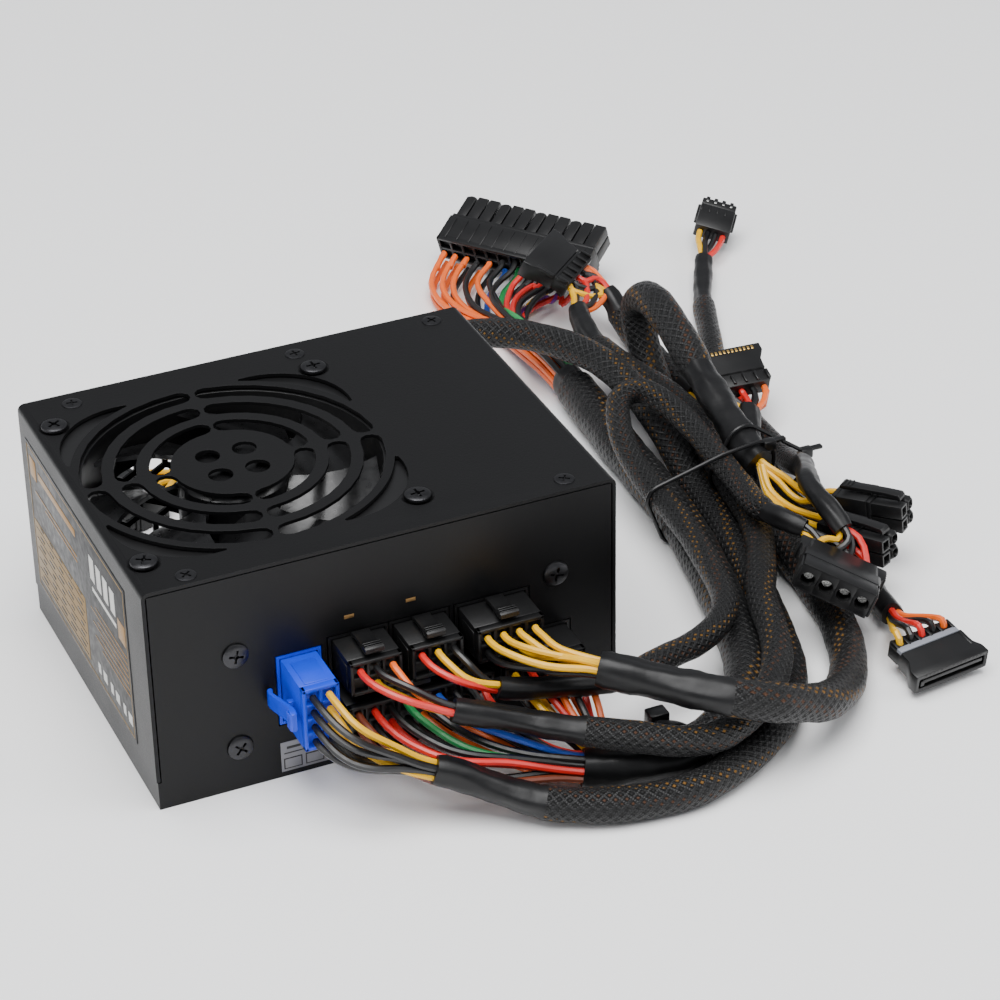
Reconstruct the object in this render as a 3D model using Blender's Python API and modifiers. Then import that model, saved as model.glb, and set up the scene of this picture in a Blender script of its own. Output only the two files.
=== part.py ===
"""A compact modular computer power supply with its output leads plugged in.

Frame: metres, +Z up. The origin is the middle of the casing's bottom face, +X runs along the
connector panel, and the connector panel faces -Y. The sheet metal casing is a tray (bottom,
connector panel and rear panel) under a cover (top and both sides). Inside are the circuit
board with its components, the socket board and an 80 mm fan that blows down from the top.
"""
import math

import bmesh
import bpy
from mathutils import Euler, Matrix, Vector

MM = 0.001
GAP = 0.3 * MM                      # between pieces that touch

# Casing
WIDTH, DEPTH, HEIGHT = 125 * MM, 100 * MM, 63.5 * MM
SHEET = 1.0 * MM                    # sheet metal thickness
LIP_HEIGHT = 8.0 * MM               # side lips of the tray, seen below the cover's sides
FLANGE = 8.0 * MM                   # folded flanges of the tray
BEND = 1.8 * MM                     # outer radius of the cover's folds
PANEL_Y = -DEPTH / 2                # the connector panel's outer face
REAR_Y = DEPTH / 2                  # the rear panel's outer face

# Fan
FAN_X, FAN_Y = -21.4 * MM, -1.0 * MM
FAN_SIZE, FAN_DEPTH = 79.5 * MM, 15.0 * MM
FAN_TOP = HEIGHT - SHEET - 0.4 * MM
FAN_BOTTOM = FAN_TOP - FAN_DEPTH
FAN_BORE = 38.2 * MM
FAN_SCREW_PITCH = 71.5 * MM
HUB_RADIUS, BLADE_TIP, BLADES = 14.5 * MM, 36.9 * MM, 7

# Grille stamped in the cover: slots between round ribs, as (radius, width, half angle)
GRILLE_RINGS = ((18.4, 5.4, 35.5), (27.2, 5.6, 38.0), (36.0, 5.6, 39.5))
GRILLE_CORNER = (41.0, 5.4, 23.0)
GRILLE_TURN = -3.0                  # degrees by which the ribs are turned

# Rear panel
INLET_X, INLET_Z = 38 * MM, 19.5 * MM
SWITCH_X, SWITCH_Z = 38 * MM, 45 * MM
ROCKER_TILT = 11.0                  # degrees to each side of the middle
VENT_CELL, VENT_WEB = 6.4 * MM, 1.6 * MM
REAR_HOLES_X, REAR_HOLES_Z = 56.5 * MM, (6.0 * MM, 57.5 * MM)

# Circuit board
BOARD_Z, BOARD_THICKNESS = 5.5 * MM, 1.6 * MM
BOARD_TOP = BOARD_Z + BOARD_THICKNESS + GAP

# Plugs and sockets: a cell is one terminal of the 4.2 mm family
CELL = 4.2 * MM
PLUG_HEIGHT = 9.6 * MM
PLUG_INSIDE = 11.5 * MM             # how far a plug goes in behind the panel
SOCKET_WALL = 0.8 * MM
SOCKET_DEPTH = 13.0 * MM

# Plug: (name, columns, centre x, centre z, how far it stands out, upright, colour)
PLUGS = (
    ("graphics", 4, -23.8, 26.0, 15.0, True, "blue"),
    ("drive", 3, -8.0, 32.0, 12.0, False, "black"),
    ("peripheral", 3, 8.3, 32.0, 12.0, False, "black"),
    ("cpu", 4, 28.0, 32.0, 12.0, False, "black"),
    ("main_a", 9, 3.8, 19.0, 12.0, False, "black"),
    ("main_b", 5, 37.2, 19.0, 12.0, False, "black"),
)

# End connectors: centre in mm, then yaw, pitch and roll in degrees. Local +Y is the way a
# connector mates, and its wires leave at -Y.
CONNECTORS = {
    "main_connector": ((135, 168, 12), (-53, 22, 0)),
    "drive_connector_1": ((131, 135, 20.5), (42, 24, 0)),
    "drive_connector_2": ((153, 61, 14.5), (-4, 14, 0)),
    "drive_connector_3": ((139.5, -80, 6), (188, -8, 0)),
    "floppy_connector": ((199, 161, 9), (-38, 16, 14)),
    "peripheral_connector": ((124.2, -55.4, 20.4), (145.5, 7, -21.5)),
    "cpu_connector_1": ((152.5, -24, 15.8), (217, 6, 0)),
    "cpu_connector_2": ((142, -35, 14.8), (207, 6, 0)),
    "graphics_connector": ((-28, 82.8, 5.2), (111.7, 0, 0)),
}
SATA_SIZE = (23.4, 15.5, 5.6)
PERIPHERAL_SIZE = (24.5, 19, 8)
FLOPPY_SIZE = (12.5, 14, 6.2)
TERMINAL_BLOCK_LENGTH = 20.5        # mm, of the 4.2 mm family on a lead's end

# Leads: radius in mm, the length and radius of the bare wires at each end, the route in mm
LEADS = {
    "graphics_lead": (4.5, (26, 3.2), (0, 0), (
        (-23.8, -65.4, 26), (-23.6, -70, 25.5), (-19, -77, 22), (-9, -80.5, 18),
        (2, -84, 14), (12, -89.5, 9.5), (22, -95, 6), (34, -100.5, 5), (47, -103.5, 4.6),
        (60, -103.5, 4.6), (73, -99, 4.6), (86, -91, 4.6), (97, -80, 4.6),
        (104.5, -66, 4.6), (109.3, -50, 4.6), (113.6, -33, 4.6), (117.3, -15, 4.6),
        (120.5, 5, 4.6), (122, 22, 5.3), (122.8, 36, 9), (122.5, 50, 14), (121, 64, 17.5),
        (117.5, 78, 19.5), (111, 92, 19.5), (101, 105, 18.5), (88, 114, 16),
        (74, 118.5, 11.5), (61, 119, 7), (49, 115.5, 4.9), (36, 110.5, 4.6),
        (22, 104, 4.6), (8, 97.5, 4.6), (-6, 91.6, 4.6), (-17.9, 86.9, 5.2))),
    "drive_lead": (4.0, (20, 2.6), (16, 2.6), (
        (-8, -62.4, 32), (-7.5, -66, 32), (-2.5, -72.5, 30), (7, -77, 26.5),
        (17, -80, 23.5), (27, -84, 20.5), (37, -88.5, 18.3), (47, -93, 16.8),
        (58, -97.3, 14.9), (68, -98, 14.2), (79, -93, 13.9), (89, -84.5, 13.8),
        (97, -73.5, 14), (101.5, -62, 14.4), (105, -50, 14.5), (112, -36, 14),
        (119, -22, 13.1), (123.6, -8, 12.2), (126, 10, 12.7), (128.4, 26, 13.9),
        (131.4, 40, 14.8), (131, 54, 15), (128.6, 68, 14.8), (125.9, 82, 14.6),
        (124.8, 94, 15), (125.6, 104, 16), (128, 112.5, 16.2), (132, 118.8, 15),
        (134.9, 122, 14.9), (135.4, 124, 15.5), (133.1, 126.7, 17.1))),
    "drive_lead_2": (4.0, (9, 2.6), (18, 2.1), (
        (139, 132.1, 17.2), (141.4, 129.3, 15.5), (143.9, 124.5, 12), (144.8, 117, 7.2),
        (145, 108, 4.4), (145.2, 98, 4.3), (145.2, 88, 4.3), (145.2, 78, 4.3),
        (145.8, 68, 3.8), (146.6, 61.5, 3.9), (147.2, 58, 6), (147.4, 57, 10.4))),
    "drive_lead_3": (4.0, (8, 2.6), (8, 2.6), (
        (152.45, 53, 12.5), (151.9, 48.5, 11.5), (149.5, 43, 10.6), (146, 36, 9.2),
        (143.5, 26, 6.5), (143, 14, 4.6), (143.5, 0, 4.2), (144, -14, 4.2),
        (143.5, -28, 4.2), (142, -42, 4.2), (140.6, -54, 4.6), (138.8, -62, 6.4),
        (137.9, -67.6, 7.6), (138.4, -71.7, 7.1))),
    "peripheral_lead": (3.5, (18, 2.4), (10, 2.4), (
        (8.3, -62.4, 32), (8.5, -66, 31.8), (12.5, -70.5, 29.5), (20, -72, 26.3),
        (28, -72, 23.6), (36, -72, 21.8), (44, -73, 20.7), (52, -73, 19.5),
        (60, -70, 18.3), (69, -66, 17.3), (79, -62.5, 16.5), (88, -57, 16.2),
        (95, -48, 16), (98.5, -35, 15.8), (101, -20, 15.8), (102.5, -5, 15.8),
        (103, 10, 15.5), (103.5, 24, 17), (105.5, 37, 20.5), (110.5, 47, 24),
        (116.5, 47, 25), (121, 38, 24), (123, 25, 22), (122.8, 10, 20.8),
        (122, -4, 20.5), (120.8, -14, 21), (120.6, -23, 22.6), (122.8, -31, 23.4),
        (127.2, -37, 21.8), (129, -41.3, 20.2), (126.8, -44.5, 20.6))),
    "peripheral_lead_2": (3.5, (10, 2.4), (8, 2.2), (
        (133, -49.4, 17.6), (134.8, -46.4, 17.8), (134.8, -41, 21.6), (133.9, -33.5, 25),
        (133.9, -25, 26), (135.8, -17, 25.2), (139.4, -9.5, 22.6), (144, 0, 18),
        (148.5, 11, 12), (152, 23, 6), (153.7, 36, 3.8), (154.4, 52, 3.6), (156, 68, 3.6),
        (160, 84, 3.6), (167, 102, 3.6), (175, 122, 3.6), (182, 136, 4), (188, 147, 5.3),
        (194.4, 155.2, 6.9))),
    "cpu_lead": (5.0, (22, 3.3), (26, 2.4), (
        (28, -62.4, 32), (28.3, -66, 32), (33, -73.5, 32), (41, -79, 31),
        (51, -86, 29), (61, -93, 27), (70, -98.5, 25.2), (80, -100.5, 22),
        (90, -98.5, 17.5), (99, -95, 13), (107.5, -88, 9), (114, -80, 6.5),
        (120, -69.5, 5.2), (124.5, -56, 5.1), (127.5, -40, 5.1), (130, -20, 5.1),
        (131.5, 0, 5.1), (132.7, 20, 5.1), (133.7, 40, 5.1), (134.5, 56, 5.1),
        (135, 70, 6.2), (136, 81, 11.5), (136.8, 88, 19), (136.8, 90, 26),
        (136.4, 85, 32), (136, 75, 34), (135.8, 62, 31.5), (135.3, 48, 27),
        (134.3, 34, 23.8), (133, 18, 21.6), (132.4, 4.6, 20), (135.6, -1, 16.8),
        (139.2, -6.8, 12.6), (142.6, -11.4, 12.8), (145.6, -15.3, 14.5))),
    "cpu_branch_lead": (2.2, (0, 0), (0, 0), (
        (130.9, -4, 13.6), (131.6, -10, 13.2), (133.6, -18, 13.1), (136.8, -25.1, 13.7))),
    "main_board_lead": (6.0, (30, 4.0), (80, 4.4), (
        (3.8, -62.4, 19), (4.2, -66, 18.8), (9, -73, 16), (18, -79, 12.5),
        (28, -84, 9), (38, -88, 7), (50, -91, 6.2), (62, -91, 6.1), (73, -86.6, 6.1),
        (83, -79, 6.1), (91.2, -68.6, 6.1), (96.3, -55, 6.1), (100.8, -38, 6.1),
        (104.8, -20, 6.1), (108.3, 0, 6.1), (110.2, 18, 6.1), (111.2, 36, 6.1),
        (112, 54, 6.1), (113, 70, 6.3), (114, 86, 6.8), (114.2, 102, 7),
        (113.2, 118, 6.5), (112.8, 132, 5.6), (114.5, 145, 4.8), (118.6, 154.4, 5),
        (123, 158.9, 6), (126.7, 161.75, 7.8))),
}

# Colour, roughness and metallic value of each material
MATERIALS = {
    "coated_steel": ((0.022, 0.022, 0.024), 0.42, 0.3),
    "screw_steel": ((0.05, 0.05, 0.055), 0.35, 0.9),
    "black_plastic": ((0.016, 0.016, 0.017), 0.45, 0.0),
    "blue_plastic": ((0.012, 0.06, 0.62), 0.38, 0.0),
    "fan_plastic": ((0.01, 0.01, 0.011), 0.25, 0.0),
    "board": ((0.05, 0.16, 0.07), 0.5, 0.0),
    "film": ((0.75, 0.74, 0.68), 0.4, 0.0),
    "aluminium": ((0.62, 0.63, 0.65), 0.4, 1.0),
    "ferrite": ((0.05, 0.05, 0.055), 0.6, 0.0),
    "copper": ((0.72, 0.32, 0.16), 0.35, 0.9),
    "capacitor_sleeve": ((0.02, 0.03, 0.08), 0.4, 0.0),
    "epoxy": ((0.02, 0.02, 0.02), 0.5, 0.0),
    "sleeving": ((0.015, 0.015, 0.015), 0.7, 0.0),
}


# ---------------------------------------------------------------- tools

def clear_scene():
    """Remove every object that the file starts with."""
    for obj in list(bpy.data.objects):
        bpy.data.objects.remove(obj, do_unlink=True)


def new_collection(name):
    """A collection of that name, linked to the scene."""
    made = bpy.data.collections.new(name)
    bpy.context.scene.collection.children.link(made)
    return made


def make_material(name):
    """The material of that name in MATERIALS."""
    known = bpy.data.materials.get(name)
    if known:
        return known
    colour, roughness, metallic = MATERIALS[name]
    made = bpy.data.materials.new(name)
    made.use_nodes = True
    shader = made.node_tree.nodes["Principled BSDF"]
    shader.inputs["Base Color"].default_value = (*colour, 1)
    shader.inputs["Roughness"].default_value = roughness
    shader.inputs["Metallic"].default_value = metallic
    return made


def add_object(name, mesh, material=None, smooth=False):
    """A piece of the power supply, or a cutter where no material is given."""
    obj = bpy.data.objects.new(name, mesh)
    if material:
        PARTS.objects.link(obj)
        mesh.materials.clear()
        mesh.materials.append(make_material(material))
        if smooth:
            mesh.shade_smooth()
            mesh.set_sharp_from_angle(angle=math.radians(35))
    else:
        CUTTERS.objects.link(obj)
        obj.hide_render = True
        obj.display_type = "WIRE"
    return obj


def mesh_from(bm, name):
    """A mesh that holds the bmesh, which is freed."""
    mesh = bpy.data.meshes.new(name)
    bm.to_mesh(mesh)
    bm.free()
    return mesh


def box(name, size, centre, material=None, bevel=0.0):
    """A box of a full size about a centre, with rounded edges where bevel is given."""
    bm = bmesh.new()
    bmesh.ops.create_cube(bm, size=1.0)
    bmesh.ops.scale(bm, vec=size, verts=bm.verts)
    obj = add_object(name, mesh_from(bm, name), material)
    obj.location = centre
    if bevel:
        edges = obj.modifiers.new("rounded_edges", "BEVEL")
        edges.width = bevel
        edges.segments = 1
    return obj


def between(name, low, high, material=None, bevel=0.0):
    """A box from its lowest corner to its highest corner."""
    low, high = Vector(low), Vector(high)
    return box(name, high - low, (low + high) / 2, material, bevel)


def round_bar(name, radius, length, centre, axis="Z", material=None, sides=24, top=None):
    """A cylinder, or a cone whose far end has the radius top, along an axis."""
    bm = bmesh.new()
    bmesh.ops.create_cone(bm, cap_ends=True, segments=sides, radius1=radius,
                          radius2=radius if top is None else top, depth=length)
    turn = {"X": (0, math.pi / 2, 0), "Y": (-math.pi / 2, 0, 0), "Z": (0, 0, 0)}[axis]
    bmesh.ops.rotate(bm, cent=(0, 0, 0), matrix=Euler(turn).to_matrix(), verts=bm.verts)
    obj = add_object(name, mesh_from(bm, name), material, smooth=True)
    obj.location = centre
    return obj


def boolean(target, other, operation):
    """Cut other from target, or join it on."""
    step = target.modifiers.new(operation.lower(), "BOOLEAN")
    step.operation = operation
    step.solver = "EXACT"
    step.object = other


def cut(target, *cutters):
    """Take each cutter away from target."""
    for cutter in cutters:
        boolean(target, cutter, "DIFFERENCE")


def join(target, *others):
    """Join each other shape to target."""
    for other in others:
        boolean(target, other, "UNION")


def baked(obj):
    """The object with its modifiers applied to its mesh."""
    shape = bpy.data.meshes.new_from_object(
        obj.evaluated_get(bpy.context.evaluated_depsgraph_get()))
    old = obj.data
    obj.modifiers.clear()
    obj.data = shape
    if old.users == 0 and isinstance(old, bpy.types.Mesh):
        bpy.data.meshes.remove(old)
    return obj


def plate(name, outline, thickness, material=None):
    """A flat outline in the XY plane, made as a filled curve and given its thickness in Z."""
    flat = bpy.data.curves.new(name, "CURVE")
    flat.dimensions = "2D"
    flat.fill_mode = "BOTH"
    flat.extrude = thickness / 2
    spline = flat.splines.new("POLY")
    spline.points.add(len(outline) - 1)
    for point, (x, y) in zip(spline.points, outline):
        point.co = (x, y, 0, 1)
    spline.use_cyclic_u = True
    return mesh_object(name, bpy.data.objects.new(name, flat), material)


def mesh_object(name, source, material=None, smooth=False):
    """A welded mesh object made from a curve object, which is removed."""
    PARTS.objects.link(source)
    bpy.context.view_layer.update()
    shape = bpy.data.meshes.new_from_object(
        source.evaluated_get(bpy.context.evaluated_depsgraph_get()))
    place = source.matrix_world.copy()
    bpy.data.objects.remove(source, do_unlink=True)
    bm = bmesh.new()
    bm.from_mesh(shape)
    bmesh.ops.remove_doubles(bm, verts=bm.verts, dist=0.00002)
    bmesh.ops.recalc_face_normals(bm, faces=bm.faces)
    bm.to_mesh(shape)
    bm.free()
    shape.name = name
    obj = add_object(name, shape, material, smooth)
    obj.matrix_world = place
    return obj


def merged_cutters(name, cutters):
    """Several cutters that don't touch, as one object, so that one Boolean makes them all."""
    bm = bmesh.new()
    for cutter in cutters:
        baked(cutter)
        part = bmesh.new()
        part.from_mesh(cutter.data)
        part.transform(cutter.matrix_basis)
        piece = mesh_from(part, name)
        bm.from_mesh(piece)
        bpy.data.meshes.remove(piece)
        bpy.data.objects.remove(cutter, do_unlink=True)
    return add_object(name, mesh_from(bm, name))


def turned(name, profile, centre, steps=32, material=None, closed=False):
    """A profile of (radius, height) points turned round the vertical axis."""
    bm = bmesh.new()
    points = [bm.verts.new((radius, 0, height)) for radius, height in profile]
    for first, second in zip(points, points[1:] + points[:1] * closed):
        bm.edges.new((first, second))
    obj = add_object(name, mesh_from(bm, name), material)
    obj.location = centre
    screw = obj.modifiers.new("turned", "SCREW")
    screw.axis = "Z"
    screw.steps = screw.render_steps = steps
    screw.use_merge_vertices = True
    screw.merge_threshold = 0.00001
    return obj


# ---------------------------------------------------------------- casing

def arc(cx, cy, radius, start, end, count):
    """Points of an arc, with angles in degrees."""
    return [(cx + radius * math.cos(math.radians(start + (end - start) * i / (count - 1))),
             cy + radius * math.sin(math.radians(start + (end - start) * i / (count - 1))))
            for i in range(count)]


def ring_slot(radius, width, middle, half_angle, count=9):
    """The outline of a slot that follows a circle and has round ends."""
    half = width / 2
    start, end = middle - half_angle, middle + half_angle
    outline = arc(0, 0, radius + half, start, end, count)
    outline += cap_points(radius, half, end, 1)
    outline += arc(0, 0, radius - half, end, start, count)
    outline += cap_points(radius, half, start, -1)
    return outline


def crescent(radius, width, middle, half_angle, count=13):
    """The outline of a slot along a circle that is widest in its middle."""
    tip = 0.8 * MM
    outline = []
    for number in range(count):
        share = 2 * number / (count - 1) - 1
        reach = radius + tip + (width - tip) * (1 - share * share)
        angle = math.radians(middle + half_angle * share)
        outline.append((reach * math.cos(angle), reach * math.sin(angle)))
    return outline + arc(0, 0, radius, middle + half_angle, middle - half_angle, count)


def cap_points(radius, half, angle, side):
    """The points between the two arcs at one end of a slot."""
    cx = radius * math.cos(math.radians(angle))
    cy = radius * math.sin(math.radians(angle))
    first = angle if side > 0 else angle - 180
    return arc(cx, cy, half, first + 36, first + 144, 4)


def grille_cutters():
    """The slots and holes of the grille, over the fan."""
    cutters = []
    for quarter in range(4):
        middle = 45 + 90 * quarter
        for radius, width, half_angle in GRILLE_RINGS:
            outline = ring_slot(radius * MM, width * MM, middle + GRILLE_TURN, half_angle)
            cutters.append(plate("ring_slot", outline, 4 * SHEET))
        radius, width, half_angle = GRILLE_CORNER
        outline = crescent(radius * MM, width * MM, middle, half_angle)
        cutters.append(plate("corner_slot", outline, 4 * SHEET))
        hole = (7.0 * MM * math.cos(math.radians(middle)),
                7.0 * MM * math.sin(math.radians(middle)), 0)
        cutters.append(round_bar("hub_hole", 3.2 * MM, 4 * SHEET, hole, sides=16))
    for cutter in cutters:
        cutter.location += Vector((FAN_X, FAN_Y, HEIGHT - SHEET / 2))
    return merged_cutters("grille_slots", cutters)


def fan_corners():
    """The four places of the fan's screws."""
    half = FAN_SCREW_PITCH / 2
    return [(FAN_X + sx * half, FAN_Y + sy * half) for sx in (-1, 1) for sy in (-1, 1)]


def make_cover():
    """The top and both sides, folded from one sheet, with the fan grille stamped in it."""
    half, low = WIDTH / 2, LIP_HEIGHT + GAP
    corner = arc(half - BEND, HEIGHT - BEND, BEND, 0, 90, 5)
    right = [(half, low)] + corner
    left = [(-x, z) for x, z in reversed(right)]
    bm = bmesh.new()
    rows = [[bm.verts.new((x, y, z)) for x, z in right + left]
            for y in (PANEL_Y, REAR_Y)]
    for i in range(len(rows[0]) - 1):
        bm.faces.new((rows[0][i], rows[1][i], rows[1][i + 1], rows[0][i + 1]))
    bmesh.ops.recalc_face_normals(bm, faces=bm.faces)
    cover = add_object("top_cover", mesh_from(bm, "top_cover"), "coated_steel")
    wall = cover.modifiers.new("sheet", "SOLIDIFY")
    wall.thickness = SHEET
    wall.offset = -1 if cover.data.polygons[0].normal.x > 0 else 1
    wall.use_even_offset = True
    cut(cover, grille_cutters())
    seats = [round_bar("screw_seat", 1.3 * MM, 3 * SHEET, (x, y, HEIGHT - SHEET / 2),
                       top=5.8 * MM) for x, y in fan_corners()]
    cut(cover, merged_cutters("screw_seats", seats))


def vent_cutters():
    """The honeycomb of the rear panel, beside the inlet."""
    step_x = VENT_CELL + VENT_WEB
    step_z = step_x * math.sqrt(3) / 2
    cells = []
    for row in range(6):
        z = 10.5 * MM + row * step_z
        shift = step_x / 2 if row % 2 else 0
        for column in range(9):
            x = -52 * MM + shift + column * step_x
            cell = round_bar("vent_cell", VENT_CELL / math.sqrt(3), 4 * SHEET,
                             (x, REAR_Y, z), axis="Y", sides=6)
            cells.append(cell)
    return merged_cutters("vent_cells", cells)


def plug_outline(columns, upright):
    """A plug's size in X and Z."""
    wide = columns * CELL + 1.2 * MM
    return (PLUG_HEIGHT, wide) if upright else (wide, PLUG_HEIGHT)


def socket_size(columns, upright):
    """A socket's outer size in X and Z."""
    room = 2 * (GAP + SOCKET_WALL)
    x, z = plug_outline(columns, upright)
    return x + room, z + room


def make_tray():
    """Bottom, connector panel and rear panel in one folded sheet, with lips and flanges."""
    inner_x = WIDTH / 2 - SHEET - GAP
    top = HEIGHT - SHEET - GAP
    tray = between("chassis_tray", (-inner_x, PANEL_Y, 0), (inner_x, REAR_Y, top),
                   "coated_steel")
    lip_x = WIDTH / 2 - 0.3 * MM
    join(tray, between("tray_lips", (-lip_x, PANEL_Y, 0), (lip_x, REAR_Y, LIP_HEIGHT)))
    hollow_y = DEPTH / 2 - SHEET
    cut(tray,
        between("tray_room", (-inner_x + SHEET, -hollow_y, SHEET),
                (inner_x - SHEET, hollow_y, top - SHEET)),
        between("lip_room", (-lip_x + SHEET, -hollow_y, SHEET),
                (lip_x - SHEET, hollow_y, LIP_HEIGHT + 0.2 * MM)),
        between("top_opening", (-inner_x + FLANGE, -hollow_y + FLANGE, top - 2 * SHEET),
                (inner_x - FLANGE, hollow_y - FLANGE, HEIGHT)),
        between("fan_opening", (-WIDTH, -hollow_y + FLANGE - SHEET, LIP_HEIGHT),
                (WIDTH, hollow_y - FLANGE + SHEET, HEIGHT)),
        vent_cutters())
    for name, columns, x, z, _, upright, _ in PLUGS:
        wide, high = socket_size(columns, upright)
        cut(tray, box(name + "_opening", (wide + 2 * GAP, 6 * SHEET, high + 2 * GAP),
                      (x * MM, PANEL_Y, z * MM)))
    openings = [box("inlet_opening", (28 * MM, 6 * SHEET, 20.6 * MM),
                    (INLET_X, REAR_Y, INLET_Z))]
    openings.append(box("switch_opening", (19.8 * MM, 6 * SHEET, 13.4 * MM),
                        (SWITCH_X, REAR_Y, SWITCH_Z)))
    for x in (-REAR_HOLES_X, REAR_HOLES_X):
        for z in REAR_HOLES_Z:
            openings.append(round_bar("rear_hole", 1.8 * MM, 6 * SHEET, (x, REAR_Y, z),
                                      axis="Y", sides=12))
    cut(tray, merged_cutters("panel_openings", openings))
    return tray


# ---------------------------------------------------------------- fan

def make_fan():
    """Frame, stator and rotor of the fan, and its four screws."""
    middle = (FAN_TOP + FAN_BOTTOM) / 2
    frame = box("fan_frame", (FAN_SIZE, FAN_SIZE, FAN_DEPTH), (FAN_X, FAN_Y, middle),
                "fan_plastic")
    cut(frame, round_bar("fan_bore", FAN_BORE, 2 * FAN_DEPTH, (FAN_X, FAN_Y, middle),
                         sides=48))
    base = round_bar("fan_base", HUB_RADIUS, 1.4 * MM,
                     (FAN_X, FAN_Y, FAN_BOTTOM + 0.7 * MM), sides=24)
    for turn in (45, 135):
        strut = box("fan_strut", (2 * FAN_BORE + 2 * MM, 4 * MM, 1.4 * MM),
                    (FAN_X, FAN_Y, FAN_BOTTOM + 0.7 * MM))
        strut.rotation_euler = (0, 0, math.radians(turn))
        join(base, strut)
    join(frame, base)
    holes = [round_bar("fan_hole", 2.1 * MM, 2 * FAN_DEPTH, (x, y, middle), sides=12)
             for x, y in fan_corners()]
    cut(frame, merged_cutters("fan_holes", holes))

    floor = FAN_BOTTOM + 1.4 * MM + GAP
    turned("fan_stator", [(11.2 * MM, 8 * MM), (11.2 * MM, 0), (1.9 * MM, 0),
                          (1.9 * MM, 8 * MM)],
           (FAN_X, FAN_Y, floor), 24, "copper", closed=True)
    make_rotor(floor)

    for number, (x, y) in enumerate(fan_corners(), 1):
        screw = round_bar(f"fan_screw_{number}", 1.7 * MM, 1.6 * MM,
                          (x, y, HEIGHT - 0.7 * MM), material="screw_steel", sides=20,
                          top=4.0 * MM)
        join(screw, round_bar("fan_screw_shank", 1.7 * MM, 9 * MM,
                              (x, y, HEIGHT - 5.5 * MM), sides=20))
        cut(screw, box("slot", (4 * MM, 0.8 * MM, 1.6 * MM), (x, y, HEIGHT + 0.1 * MM)),
            box("slot", (0.8 * MM, 4 * MM, 1.6 * MM), (x, y, HEIGHT + 0.1 * MM)))


def make_rotor(floor):
    """The hub cup with its shaft and swept blades, turning on the vertical axis."""
    top = FAN_TOP - 1.2 * MM - floor
    roof = top - 1.4 * MM
    cup = [(0, top), (HUB_RADIUS - 1 * MM, top), (HUB_RADIUS, top - 1 * MM),
           (HUB_RADIUS, 0.4 * MM), (HUB_RADIUS - 1.7 * MM, 0.4 * MM),
           (HUB_RADIUS - 1.7 * MM, roof), (1.5 * MM, roof), (1.5 * MM, 0), (0, 0)]
    rotor = turned("fan_rotor", cup, (FAN_X, FAN_Y, floor), 28, "fan_plastic")
    for number in range(BLADES):
        blade = make_blade(top)
        blade.location = (FAN_X, FAN_Y, floor)
        blade.rotation_euler = (0, 0, 2 * math.pi * number / BLADES)
        join(rotor, blade)
    bpy.context.view_layer.update()
    rotor = baked(rotor)
    rotor.data.shade_smooth()
    rotor.data.set_sharp_from_angle(angle=math.radians(35))


def make_blade(top):
    """One blade: a grid that sweeps forward and flattens towards its tip."""
    bm = bmesh.new()
    bmesh.ops.create_grid(bm, x_segments=5, y_segments=4, size=0.5)
    inner = HUB_RADIUS - 0.8 * MM
    for vertex in bm.verts:
        along, chord = vertex.co.x + 0.5, vertex.co.y + 0.5
        radius = inner + (BLADE_TIP - inner) * along
        sweep = math.radians(20 * along ** 1.4 + 44 * (chord - 0.5))
        height = top * (0.10 + 0.80 * chord) - 1.2 * MM * along * (2 * chord - 1)
        vertex.co = (radius * math.cos(sweep), radius * math.sin(sweep), height)
    blade = add_object("blade", mesh_from(bm, "blade"))
    skin = blade.modifiers.new("thickness", "SOLIDIFY")
    skin.thickness = 1.1 * MM
    skin.offset = 0
    return baked(blade)


# ---------------------------------------------------------------- rear panel

def make_inlet():
    """The three pin mains inlet."""
    inlet = box("ac_inlet", (27.4 * MM, 18 * MM, 20 * MM),
                (INLET_X, REAR_Y - 9 * MM, INLET_Z), "black_plastic")
    join(inlet, between("inlet_flange",
                        (INLET_X - 15.5 * MM, REAR_Y + GAP, INLET_Z - 12 * MM),
                        (INLET_X + 15.5 * MM, REAR_Y + 2.2 * MM, INLET_Z + 12 * MM)),
         between("inlet_neck", (INLET_X - 13.7 * MM, REAR_Y - 2 * MM, INLET_Z - 10 * MM),
                 (INLET_X + 13.7 * MM, REAR_Y + 1 * MM, INLET_Z + 10 * MM)))
    mouth = REAR_Y + 4 * MM
    for half_wide, half_high in ((12 * MM, 5.5 * MM), (10 * MM, 8 * MM)):
        cut(inlet, between("inlet_socket",
                           (INLET_X - half_wide, REAR_Y - 13.5 * MM, INLET_Z - half_high),
                           (INLET_X + half_wide, mouth, INLET_Z + half_high)))
    for dx, dz in ((-7 * MM, -1.5 * MM), (0, 2.5 * MM), (7 * MM, -1.5 * MM)):
        join(inlet, between("inlet_pin",
                            (INLET_X + dx - 1 * MM, REAR_Y - 15 * MM, INLET_Z + dz - 2 * MM),
                            (INLET_X + dx + 1 * MM, REAR_Y - 1 * MM, INLET_Z + dz + 2 * MM)))


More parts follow.
